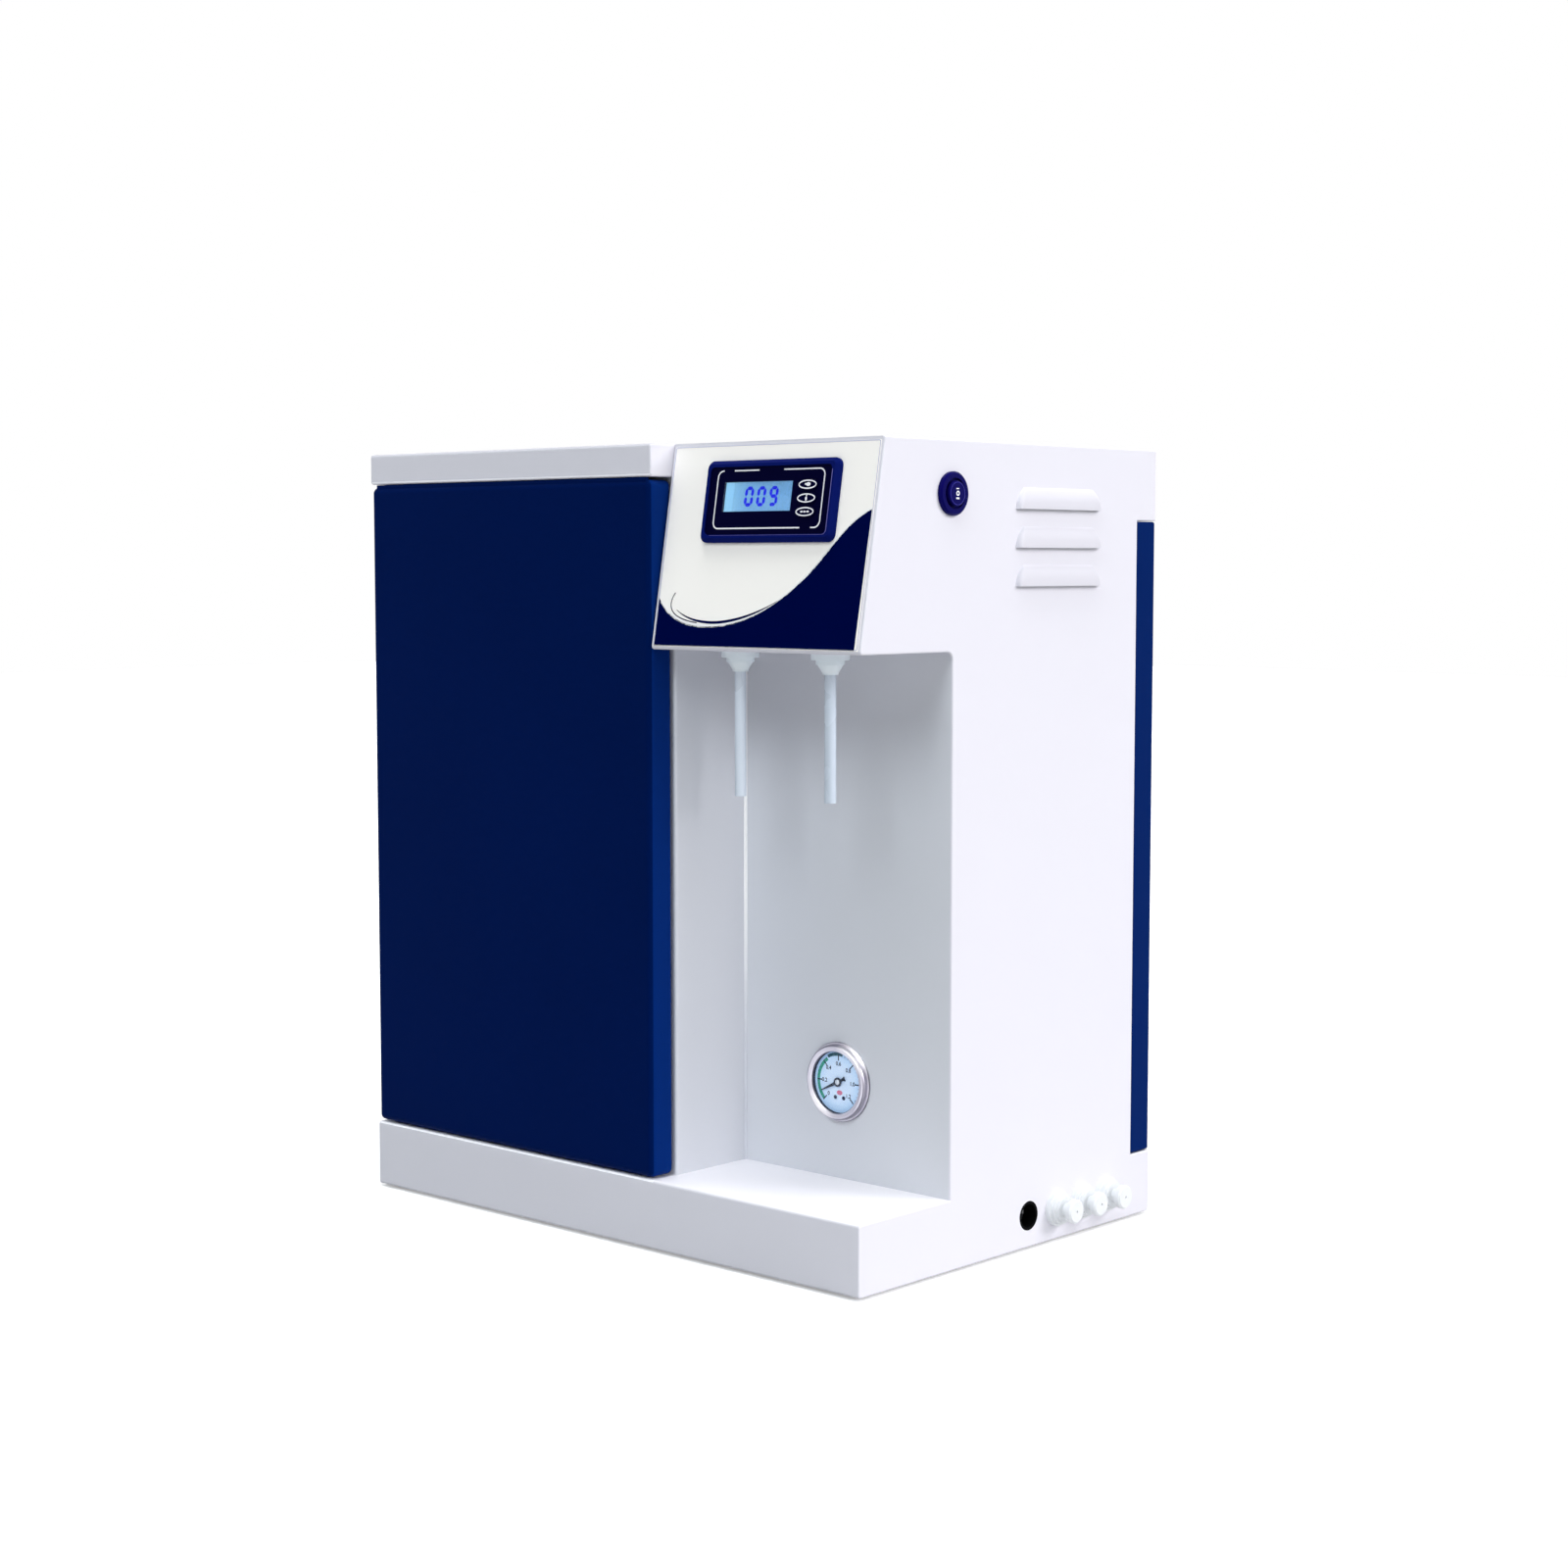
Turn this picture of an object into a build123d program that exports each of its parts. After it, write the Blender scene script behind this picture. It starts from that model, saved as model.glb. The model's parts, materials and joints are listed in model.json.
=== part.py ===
from build123d import *
import math
import os

# Laboratory water purifier, in millimetres.
# X runs to the right, Y to the rear, Z up. The origin is on the bench, in the middle of the housing.

# Housing
housing_width = 436.0
housing_depth = 292.0
housing_height = 498.0
foot_show = 2.0              # how far the rubber feet lift the housing
sheet = 1.5                  # steel sheet of the housing
bend = 2.0                   # outside radius of a fold
edge_round = 1.1             # ground corner of a welded side sheet
head_edge_round = 0.6        # left edge of the sloping face
door_section_width = 267.5   # the left section, as wide as the cap above the door
head_width = housing_width - door_section_width
base_height = 43.5
cap_height = 20.0
cap_return = 34.0            # depth of the cap's underside
niche_depth = 84.0
niche_round = 5.0             # upper rear corner of the opening in the right side
head_height = 125.0
head_setback = 21.5          # how far the sloping face leans back at its top
seam_flange = 15.0           # overlap where two sheets are spot welded
deck_ledge = 27.0            # deck left behind the door, in front of the filters
frame_left = 16.0            # folded frame that the closed door rests in front of
frame_right = 26.0

# Front door
door_thickness = 19.5
door_wall = 2.5
door_gap_top = 1.9
door_gap_bottom = 1.2
door_gap_left = 0.5
door_gap_right = 0.9
door_gap_back = 1.5
door_round = 4.0
door_rim = 14.0              # width of the closed rim round the door's back
door_plate_lap = 4.0         # how far the backing plate lies on that rim
door_plate_thickness = 1.2
door_plate_clearance = 0.2
door_rib_set_back = 1.2      # rib on top of the door, behind its front
door_rib_depth = 2.4
door_rib_end = 4.5           # from the door's flanks to the rib's ends
door_rib_gap = 0.4           # from the rib to the cap
door_rib_root = 2.0          # how deep the rib stands in the door's wall

# Door hinge, two upright pins
pin_radius = 2.5
pin_from_flank = 7.0
pin_from_front = 10.5
pin_depth = 9.0              # length of each pin inside the door
pin_clearance = 0.06
pin_head_radius = 4.5
pin_head_height = 2.0
hinge_boss_radius = 5.0
hinge_boss_wall = 1.5        # solid end of each boss beyond its pin

# Magnetic catches behind the door's free edge
magnet_width = 9.0
magnet_length = 34.0
magnet_inset = 14.0          # from the niche wall to the magnet
magnet_end_inset = 90.0      # from the top or bottom of the door frame
magnet_air_gap = 0.3

# Rear cover
rear_cover_depth = 20.0
rear_cover_low = 41.2        # above the bottom of the housing
rear_cover_below_top = 46.0  # upper edge, below the top of the housing
rear_cover_wall = 2.5
rear_cover_round = 1.5
rear_gap = 0.5               # open line round the rear cover
rear_screw_inset = 22.0      # screw centres, from the cover's edges
rear_boss_radius = 5.5
screw_radius = 1.95
screw_clearance = 0.1
screw_head_radius = 3.9
screw_head_height = 2.4
screw_sink = 3.0             # depth of the pocket round each screw head
screw_bite = 5.0             # length of screw beyond the bulkhead
slot_width = 1.0
slot_depth = 1.1

# Rubber feet
foot_radius = 11.0
foot_inset = 28.0
foot_stem_radius = 3.0
foot_stem_clearance = 0.1
foot_button_radius = 5.0
foot_button_height = 3.0

# Sloping face: overlay and controller
overlay_thickness = 0.5
overlay_border = 2.2
controller_off_middle = 2.35     # centre of the controller, right of the head's middle
controller_from_divide = head_width / 2 + controller_off_middle
controller_up_slope = 90.0       # and up the slope from the head's lower edge
bezel_width = 106.5
bezel_height = 49.5
bezel_corner = 5.0
bezel_stand = 4.5                # how far the bezel stands off the overlay
bezel_slope = 2.4                # sloping outer edge of the bezel
pocket_width = 97.5              # pocket that the fascia lies in
pocket_height = 41.0
pocket_corner = 3.0
pocket_clearance = 0.15
fascia_recess = 0.9
fascia_thickness = 1.6
ledge = 1.5                      # the fascia rests on this ledge
sleeve_wall = 1.8
sleeve_depth = 12.0              # bezel sleeve behind the sloping face
panel_clearance = 0.3
case_depth = 46.0                # rear half of the controller
case_wall = 2.0
window_width = 54.7
window_height = 17.7
window_offset = (-9.0, 2.5)      # from the centre of the controller
window_clearance = 0.1
screen_width = 59.0
screen_height = 24.0
board_thickness = 1.6
board_depth = 9.0                # front of the circuit board, behind the fascia
board_margin = 0.8

# Three oval keys
key_names = ("key_bottom", "key_middle", "key_top")
key_width = 15.0
key_height = 6.3
key_pitch = 8.05
key_offset = (31.0, 0.7)         # middle key, from the centre of the controller
key_proud = 0.8
key_clearance = 0.25
key_collar_width = 16.6
key_collar_height = 7.5
key_collar_thickness = 1.0
key_collar_gap = 0.2
key_stem_radius = 1.6
key_travel = 0.7
key_switch_size = 5.0
key_switch_height = 1.2
key_switch_play = 0.1

# Push-push power switch on the right side
switch_from_front = 82.0
switch_below_top = 31.8
switch_flange_radius = 13.0
switch_flange_height = 3.0
switch_groove_radius = 9.2
switch_groove_depth = 2.0
switch_barrel_radius = 9.6
switch_barrel_length = 25.0
switch_button_radius = 7.5
switch_button_clearance = 0.1
switch_button_proud = 4.6        # beyond the outside of the panel
switch_button_length = 17.0
switch_floor = 3.0               # closed end of the barrel
switch_tab_length = 8.0
switch_tab_width = 6.0
switch_tab_thickness = 0.8
switch_tab_pitch = 9.0
switch_nut_flats = 24.0
switch_nut_height = 4.0
thread_clearance = 0.1

# Pressed louvres on the right side
louvre_count = 3
louvre_length = 84.5
louvre_height = 13.0
louvre_rise = 3.6
louvre_wall = 1.2
louvre_pitch = 23.4
louvre_from_front = 144.4
louvre_below_top = 39.8          # lip of the highest louvre
louvre_taper = 7.0               # how much shorter each end is at the crown

# Cable inlet and three bulkhead ports, low on the right side
cable_from_front = 162.0
port_height = 20.0               # above the bottom of the housing
cable_hole_radius = 9.2
cable_bush_wall = 1.6
cable_bush_length = 10.0
cable_bush_flange_radius = 11.5
cable_bush_flange_height = 2.0
port_count = 3
port_pitch = 26.2
port_from_front = 190.6
port_rings = ((11.1, 3.0), (9.7, 2.5), (8.2, 2.5))   # radius and height of each step
barrel_radius = 7.9
barrel_length = 24.0
barrel_nut_flats = 20.0
barrel_nut_height = 5.0
port_bore_radius = 4.0
port_bore_depth = 14.0
plug_stem_length = 13.0
plug_clearance = 0.05
plug_neck_radius = 4.6
plug_neck_height = 4.5
plug_disc_radius = 7.5
plug_disc_height = 4.0
plug_dimple_radius = 0.8
plug_dimple_depth = 1.2
plug_names = ("plug_inlet_port", "plug_tank_port", "plug_drain_port")

# Dispensing nozzles under the head
nozzle_names = ("left", "right")
nozzle_from_front = 30.0
nozzle_pitch = 72.8
nozzle_off_middle = -1.15        # middle of the pair, from the head's middle
nozzle_from_divide = (head_width - nozzle_pitch) / 2 + nozzle_off_middle
nozzle_tube_radius = 3.5
nozzle_tube_bore = 2.3
nozzle_drop = 89.0               # tube end below the head
nozzle_rings = ((11.5, 4.4), (8.6, 2.8))
nozzle_cone_radius = 4.9
nozzle_cone_height = 5.8
nozzle_barrel_length = 14.0
nozzle_fit = 0.05
nozzle_spigot_radius = 3.2       # thinner end of the tube, inside the collar
nozzle_seat = 5.0                # depth of the tube above the ceiling

# Panel pressure gauge on the niche's back wall
gauge_above_deck = 60.7
gauge_off_middle = -4.2          # from the middle of the niche
gauge_flange_radius = 25.0
gauge_flange_height = 1.6
gauge_case_radius = 21.2
gauge_case_front = 2.8           # rim of the case, in front of the wall
gauge_case_back = 24.0           # depth of the case, behind the wall
gauge_back_radius = 20.4
gauge_wall = 1.6
gauge_hole_clearance = 0.3
gauge_dial_radius = 19.4
gauge_dial_thickness = 0.6
gauge_dial_depth = 1.6           # front of the dial, behind the case's rim
gauge_dial_fit = 0.1
gauge_dial_ledge = 1.4
gauge_lens_radius = 20.8
gauge_lens_thickness = 1.2
gauge_bezel_radius = 23.6
gauge_bezel_lip = 19.2           # radius of the bezel's opening
gauge_bezel_top = 1.1            # thickness of the bezel's front lip
gauge_bezel_fit = 0.1
gauge_shaft_radius = 0.9
gauge_shaft_fit = 0.06
gauge_shaft_depth = 9.0          # length of the spindle behind the dial
gauge_pointer_gap = 0.6          # pointer above the dial
gauge_pointer_thickness = 0.6
gauge_pointer_length = 15.0
gauge_pointer_tail = 6.5
gauge_pointer_root = 1.5         # half width of the pointer at its hub
gauge_pointer_tip = 0.25         # half width of the pointer at its tip
gauge_hub_radius = 2.9
gauge_scale_zero = 225.0         # degrees, anticlockwise from the right, seen from the front
gauge_reading = 19.0             # degrees that the pointer stands above zero
gauge_works_width = 17.0
gauge_works_gap = 1.2            # works behind the dial
gauge_coil_radius = 13.0
gauge_coil_tube = 1.6
gauge_coil_sweep = 270.0
gauge_stem_radius = 6.0
gauge_stem_length = 18.0
gauge_clamp_reach = 28.0
gauge_clamp_width = 14.0
gauge_clamp_thickness = 2.0

# Water tubing inside, and the fittings that it enters
tube_radius = 3.175
tube_wall = 1.0
tube_fit = 0.05
tube_bend = 20.0                 # usual bend radius along the centre of a tube
tube_seat = 8.0                  # how far a tube enters a fitting
spout_radius = 5.5               # outside of a push-in socket
spout_length = 11.0
lane_off_bulkhead = 15.0         # gauge line, along the rear bulkhead
gauge_lane_rise = 51.0           # tubes above the vessels
polished_lane_rise = 43.0
plain_lane_rise = 13.5
permeate_lane_drop = 46.0        # tubes under the vessels
polisher_lane_drop = 32.0
pump_lane_offset = 31.5          # pressure tube, behind the pump's axis
pump_rise = 43.0                 # pressure tube, straight up from the pump
pump_jog = 40.0                  # height of its step to the rear
tank_lane_offset = 0.5           # tank tube, beside the plane that divides the housing
cell_lane_offset = 50.0          # polisher tube, from the cell
polished_turn_offset = 19.0      # where the polished water tube turns to its nozzle

# Partition behind the filters, and the filters
partition_from_front = 126.0
filter_names = ("sediment_filter", "carbon_filter", "fine_filter")
filter_radius = 33.0
filter_room = 236.0              # housing height above and below a filter's body
filter_length = housing_height - filter_room
filter_dome = 12.0
filter_shoulder = 12.0
filter_collar_radius = 25.0
filter_collar_height = 10.0
filter_neck_radius = 17.5
filter_neck_length = 18.0
filter_pitch = 82.0
filter_from_partition = 52.0
filter_below_top = 96.0          # seat of the filters in their manifold
manifold_height = 44.0
manifold_end = 12.0              # manifold beyond the outer filter sockets
socket_radius = 27.0
socket_clearance = 0.3

# Upright vessels behind the partition
vessel_radius = 30.0
vessel_room = 208.0              # housing height above and below a vessel
vessel_length = housing_height - vessel_room
vessel_cap_radius = 32.0
vessel_cap_height = 26.0
vessel_from_floor = 103.0
vessel_stand_off = 6.0
membrane_from_left = 48.0
polisher_from_left = 123.0
side_port_height = 12.0          # above the lower end, or below the upper end
clip_height = 14.0
clip_thickness = 3.0
clip_gap = 0.3
clip_opening = 70.0              # degrees open at the back
clip_low = 70.0                  # lower clip, above the lower end of its vessel
clip_below_top = 80.0            # upper clip, below the upper end
clip_positions = (clip_low, vessel_length - clip_below_top)

# Booster pump
pump_from_left = 93.0            # end of the pump head
pump_from_rear_bulkhead = 64.0   # pump axis
pump_axis_height = 42.0          # above the base pan
pump_head_length = 42.0
pump_head_size = 62.0
pump_motor_length = 90.0
pump_motor_radius = 29.0
pump_cradle_width = 44.0
pump_cradle_thickness = 5.0
pump_rib_width = 31.0
pump_port_pitch = 22.0
pump_head_round = 6.0
pump_motor_round = 4.0
pump_cradle_inset = 10.0         # cradle plate, from each end of the motor
pump_rib_inset = 14.0            # upright ribs, from each end of the motor

# Transformer
transformer_from_niche = 28.0
transformer_width = 66.0
transformer_off_middle = 2.75
transformer_from_divide = (head_width - transformer_width) / 2 + transformer_off_middle
transformer_depth = 56.0
transformer_core = 22.0
transformer_height = 55.0
transformer_leg = 13.0           # core beside the windings
transformer_yoke = 9.0           # core above and below the windings
transformer_round = 4.0
transformer_foot = 3.0
transformer_foot_lap = 9.0

# Solenoid valves in line with the inlet and drain ports
valve_from_right = 78.0
valve_body_length = 34.0
valve_body_width = 18.0
valve_coil_width = 26.0
valve_coil_height = 30.0
valve_foot_width = 12.0

# Conductivity cell, where the pure water divides
cell_from_divide = 44.5
cell_height = 248.0
cell_size = 24.0
cell_length = 30.0
cell_from_partition = 13.5

# Datums worked out from the sizes above
x_left = -housing_width / 2
x_right = housing_width / 2
y_front = -housing_depth / 2
y_rear = housing_depth / 2
z_floor = foot_show
z_top = z_floor + housing_height
z_pan = z_floor + sheet
z_deck = z_floor + base_height
z_cap = z_top - cap_height
z_head = z_top - head_height
x_divide = x_left + door_section_width
y_niche = y_front + niche_depth
y_door_back = y_front + door_thickness
y_frame = y_door_back + door_gap_back
y_bulkhead = y_rear - rear_cover_depth
y_partition = y_front + partition_from_front
x_inner_left = x_left + sheet
x_inner_right = x_right - sheet
half_sheet = sheet / 2
slope = math.atan(head_setback / head_height)
face_normal = (0, -math.cos(slope), math.sin(slope))
face_plane = Plane(origin=(0, y_front, z_head), x_dir=(1, 0, 0), z_dir=face_normal)
face_length = head_height / math.cos(slope)
nozzle_y = y_front + nozzle_from_front
nozzle_x = [x_divide + nozzle_from_divide + nozzle_pitch * i for i in range(len(nozzle_names))]
port_y = [y_front + port_from_front + port_pitch * i for i in range(port_count)]
port_z = z_floor + port_height
gauge_x = (x_divide + x_right) / 2 + gauge_off_middle
gauge_z = z_deck + gauge_above_deck
right = (1, 0, 0)
left = (-1, 0, 0)
front = (0, -1, 0)
rear = (0, 1, 0)
up = (0, 0, 1)
down = (0, 0, -1)


def block(x0, x1, y0, y1, z0, z1):
    """Box between two opposite corners."""
    centre = Pos((x0 + x1) / 2, (y0 + y1) / 2, (z0 + z1) / 2)
    return centre * Box(x1 - x0, y1 - y0, z1 - z0)


def rod(start, direction, radius, length):
    """Round bar that starts at a point and runs along a direction."""
    from_base = (Align.CENTER, Align.CENTER, Align.MIN)
    return Plane(origin=start, z_dir=direction) * Cylinder(radius, length, align=from_base)


def shifted(point, direction, distance):
    """Point at a distance along a direction."""
    return tuple(p + d * distance for p, d in zip(point, direction))


def turned(start, direction, outline):
    """Turned body: the outline lists radius and height along the direction."""
    face = make_face(Plane.XZ * Polyline(*outline, close=True))
    return Plane(origin=start, z_dir=direction) * revolve(face, Axis.Z)


def nut(start, direction, flats, height, bore):
    """Hexagon nut whose first face lies at the start point."""
    plane = Plane(origin=start, z_dir=direction)
    hexagon = RegularPolygon(flats / 2, 6, major_radius=False)
    return extrude(plane * (hexagon - Circle(bore)), height)


def folded(plane, points, width):
    """Folded sheet: a centre line of flats and bends, given its thickness and its width."""
    centre_line = FilletPolyline(*points, radius=bend - half_sheet)
    return extrude(plane * trace(centre_line, sheet), width)


def stadium(width, height, thickness, plane):
    """Flat oval plate, extruded along the plane's normal."""
    return extrude(plane * SlotOverall(width, height), thickness)


def bend_radii(points):
    """Radius at each corner of a tube: the usual one, or as much as the shorter run has room for."""
    runs = [Vector(*b) - Vector(*a) for a, b in zip(points, points[1:])]
    room = [run.length for run in runs]
    room[0] *= 2
    room[-1] *= 2
    radii = []
    for i in range(len(runs) - 1):
        half_turn = math.radians(runs[i].get_angle(runs[i + 1]) / 2)
        radii.append(min(tube_bend, 0.45 * min(room[i], room[i + 1]) / math.tan(half_turn)))
    return radii


def tube(points):
    """Tube along straight runs joined by tangent arcs."""
    path = FilletPolyline(*points, radius=bend_radii(points))
    start = Plane(origin=path @ 0, z_dir=path % 0)
    section = Circle(tube_radius) - Circle(tube_radius - tube_wall)
    return sweep(start * section, path)


def spout(start, direction):
    """Push-in socket for a tube, solid apart from its seat."""
    body = rod(start, direction, spout_radius, spout_length)
    mouth = shifted(start, direction, spout_length - tube_seat)
    return body - rod(mouth, direction, tube_radius + tube_fit, tube_seat)


def straight_tube(start, direction, length):
    """Straight piece of tube."""
    bore = rod(shifted(start, direction, -1), direction, tube_radius - tube_wall, length + 2)
    return rod(start, direction, tube_radius, length) - bore


def spout_mouth(start, direction):
    """Point where a tube ends inside a push-in socket."""
    return shifted(start, direction, spout_length - tube_seat)


def save(name, shape):
    """Write one node."""
    export_step(shape, f"parts/{name}.step")


os.makedirs("parts", exist_ok=True)

# Places shared by several pieces
door_x0 = x_left + door_gap_left
door_x1 = x_divide - door_gap_right
door_z0 = z_deck + door_gap_bottom
door_z1 = z_cap - door_gap_top
pin_x = door_x0 + pin_from_flank
pin_y = y_front + pin_from_front
cover_z0 = z_floor + rear_cover_low
cover_z1 = z_top - rear_cover_below_top
switch_centre = (x_right, y_front + switch_from_front, z_top - switch_below_top)
cable_centre = (x_right, y_front + cable_from_front, port_z)
port_stack = sum(height for _, height in port_rings)
nozzle_stack = sum(height for _, height in nozzle_rings)
feet = [(sx * (housing_width / 2 - foot_inset), sy * (housing_depth / 2 - foot_inset))
        for sx in (-1, 1) for sy in (-1, 1)]
cover_x0 = x_left + rear_gap
cover_x1 = x_right - rear_gap
rear_screws = [(x, z) for x in (cover_x0 + rear_screw_inset, cover_x1 - rear_screw_inset)
               for z in (cover_z0 + rear_screw_inset, cover_z1 - rear_screw_inset)]
bezel_back = overlay_thickness
bezel_front = bezel_back + bezel_stand
fascia_front = bezel_front - fascia_recess
fascia_back = fascia_front - fascia_thickness
board_front = fascia_back - board_depth
sleeve_outer_width = pocket_width - 2 * ledge + 2 * sleeve_wall
sleeve_outer_height = pocket_height - 2 * ledge + 2 * sleeve_wall
controller_x = x_divide + controller_from_divide


def on_face(x, s, height):
    """Plane parallel to the sloping face: across, up the slope and off it."""
    origin = face_plane.from_local_coords((x, s, height))
    return Plane(origin=origin, x_dir=right, z_dir=face_normal)


def on_controller(dx, ds, height):
    """Plane parallel to the sloping face, measured from the centre of the controller."""
    return on_face(controller_x + dx, controller_up_slope + ds, height)


def controller_cut_out():
    """Opening in the sloping face and its overlay, round the bezel's sleeve."""
    return Rectangle(sleeve_outer_width + 2 * panel_clearance, sleeve_outer_height + 2 * panel_clearance)


# Housing

def make_base_pan():
    """Floor, front, deck and low rear wall, folded from one sheet."""
    deck_end = y_niche + seam_flange
    points = [(deck_end, z_deck - half_sheet), (y_front + half_sheet, z_deck - half_sheet),
              (y_front + half_sheet, z_floor + half_sheet), (y_rear - half_sheet, z_floor + half_sheet),
              (y_rear - half_sheet, cover_z0 - rear_gap)]
    pan = folded(Plane.YZ.offset(x_inner_left), points, x_inner_right - x_inner_left)
    pan -= block(x_left, x_divide - sheet, y_frame + deck_ledge, deck_end + 1, z_deck - bend, z_deck + 1)
    for x, y in feet:
        pan -= rod((x, y, z_floor - 1), up, foot_stem_radius + foot_stem_clearance, sheet + 2)
    pan -= rod((pin_x, pin_y, z_deck - sheet - 1), up, pin_radius, sheet + 2)
    return pan


def side_sheet(plane_x, with_niche):
    """Side sheet: the door or the niche at its front edge, the rear cover at its back edge."""
    notch = y_bulkhead - rear_gap
    corners = [(y_front, z_floor, bend), (y_rear, z_floor, bend), (y_rear, cover_z0 - rear_gap, 0),
               (notch, cover_z0 - rear_gap, 0), (notch, cover_z1 + rear_gap, 0),
               (y_rear, cover_z1 + rear_gap, 0), (y_rear, z_top, bend)]
    if with_niche:
        corners += [(y_front + head_setback, z_top, edge_round), (y_front, z_head, bend),
                    (y_niche, z_head, niche_round), (y_niche, z_deck, 0)]
    else:
        corners += [(y_front, z_top, bend), (y_front, z_cap, bend), (y_frame, z_cap, 0), (y_frame, z_deck, 0)]
    corners.append((y_front, z_deck, bend))
    outline = FilletPolyline(*[(y, z) for y, z, _ in corners], radius=[r for _, _, r in corners], close=True)
    return extrude(make_face(Plane.YZ.offset(plane_x) * outline), sheet)


def louvre_solid(z_lip, shrink, deep):
    """Hood of a louvre, from its lip up to its crown; shrink gives the hollow inside it."""
    stations = ((0.0, 1.0, 0.0), (0.35, 0.94, 0.12), (0.7, 0.66, 0.45), (1.0, 0.06, 1.0))
    y0 = y_front + louvre_from_front
    sections = []
    for along, rise, taper in stations:
        out = x_right + louvre_rise * rise - shrink
        end = louvre_taper * taper + shrink
        z = z_lip + (louvre_height - shrink * 1.5) * along
        plane = Plane(origin=((out + deep) / 2, y0 + louvre_length / 2, z))
        outline = Rectangle(out - deep, louvre_length - 2 * end)
        outer = outline.vertices().group_by(Axis.X)[-1]
        corner = 0.8 * min(louvre_rise, out - deep - 0.1)
        sections.append(plane * fillet(outer, corner))
    return loft(sections)


def make_right_side_panel():
    """Right side sheet with the niche, the louvres and the holes for switch, cable and ports."""
    panel = side_sheet(x_inner_right, True)
    panel = fillet(panel.faces().sort_by(Axis.X)[-1].edges(), edge_round)
    for i in range(louvre_count):
        z_lip = z_top - louvre_below_top - louvre_pitch * i
        panel += louvre_solid(z_lip, 0.0, x_right - half_sheet)
    for i in range(louvre_count):
        z_lip = z_top - louvre_below_top - louvre_pitch * i
        panel -= louvre_solid(z_lip, louvre_wall, x_inner_right - 1)
    holes = [(switch_centre, switch_barrel_radius + thread_clearance),
             (cable_centre, cable_hole_radius + thread_clearance)]
    holes += [((x_right, y, port_z), barrel_radius + thread_clearance) for y in port_y]
    for centre, radius in holes:
        panel -= rod(shifted(centre, right, 1), left, radius, sheet + 2)
    return panel


def make_left_side_panel():
    """Plain left side sheet, with the folded frame that the door closes against."""
    panel = side_sheet(x_left, False)
    panel = fillet(panel.faces().sort_by(Axis.X)[0].edges(), edge_round)
    return panel + block(x_inner_left - half_sheet, x_left + frame_left, y_frame, y_frame + sheet,
                         z_deck, z_cap)


def make_top_cover():
    """Top sheet: a boxed cap over the door, a plain edge behind the head, and the upper rear wall."""
    top = z_top - half_sheet
    back = [(y_rear - half_sheet, top), (y_rear - half_sheet, cover_z1 + rear_gap)]
    cap = [(y_front + cap_return, z_cap + half_sheet), (y_front + half_sheet, z_cap + half_sheet),
           (y_front + half_sheet, top)] + back
    head_edge = y_front + head_setback + sheet / math.cos(slope)
    cover = folded(Plane.YZ.offset(x_inner_left), cap, x_divide - sheet - x_inner_left)
    cover += folded(Plane.YZ.offset(x_divide - sheet), [(head_edge, top)] + back,
                    x_inner_right - x_divide + sheet)
    end_outline = FilletPolyline((y_front, z_cap), (y_front + cap_return, z_cap),
                                 (y_front + cap_return, z_top), (y_front, z_top),
                                 radius=[bend, 0, 0, bend], close=True)
    end_wall = extrude(make_face(Plane.YZ.offset(x_divide - sheet) * end_outline), sheet)
    cover += fillet(end_wall.faces().sort_by(Axis.X)[-1].edges(), edge_round)
    return cover - rod((pin_x, pin_y, z_cap - 1), up, pin_radius, sheet + 2)


def make_head_housing():
    """Sloping face, ceiling of the niche and left wall of the head."""
    lean = half_sheet / math.cos(slope)
    corner_y = y_front + lean + half_sheet * math.tan(slope)
    rise = z_top + sheet - z_head - half_sheet
    points = [(y_niche - half_sheet, z_head + seam_flange), (y_niche - half_sheet, z_head + half_sheet),
              (corner_y, z_head + half_sheet), (corner_y + rise * math.tan(slope), z_top + sheet)]
    shell = folded(Plane.YZ.offset(x_divide), points, x_inner_right - x_divide)
    shell -= block(x_left, x_right, y_front - 1, y_niche, z_top, z_top + 3 * sheet)
    end = shell.faces().sort_by(Axis.X)[0].edges()
    shell = fillet([edge for edge in end if edge.length > 2 * sheet], head_edge_round)
    wall_outline = [(y_front + sheet, z_head + half_sheet), (y_niche, z_head + half_sheet),
                    (y_niche, z_top - sheet), (y_front + sheet + head_setback, z_top - sheet)]
    wall = make_face(Plane.YZ.offset(x_divide) * Polyline(*wall_outline, close=True))
    shell += extrude(wall, sheet)
    relief = bend - sheet
    shell -= block(x_divide - 1, x_divide + relief, y_niche - relief, y_niche + 1, z_head - 1, z_top + 1)
    shell -= extrude(on_controller(0, 0, 1) * controller_cut_out(), -(sheet + 3))
    for x in nozzle_x:
        shell -= rod((x, nozzle_y, z_head - 1), up, barrel_radius + thread_clearance, sheet + 2)
    return shell


def make_niche_liner():
    """Door frame, left wall and back wall of the niche, folded from one sheet."""
    points = [(x_divide - frame_right, y_frame + half_sheet), (x_divide - half_sheet, y_frame + half_sheet),
              (x_divide - half_sheet, y_niche + half_sheet), (x_inner_right, y_niche + half_sheet)]
    liner = folded(Plane.XY.offset(z_deck), points, z_cap - z_deck)
    liner -= block(x_divide, x_right, y_niche - 1, y_niche + bend + 1, z_head + seam_flange, z_cap + 1)
    hole = gauge_back_radius + gauge_hole_clearance
    return liner - rod((gauge_x, y_niche - 1, gauge_z), rear, hole, sheet + 2)


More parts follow.
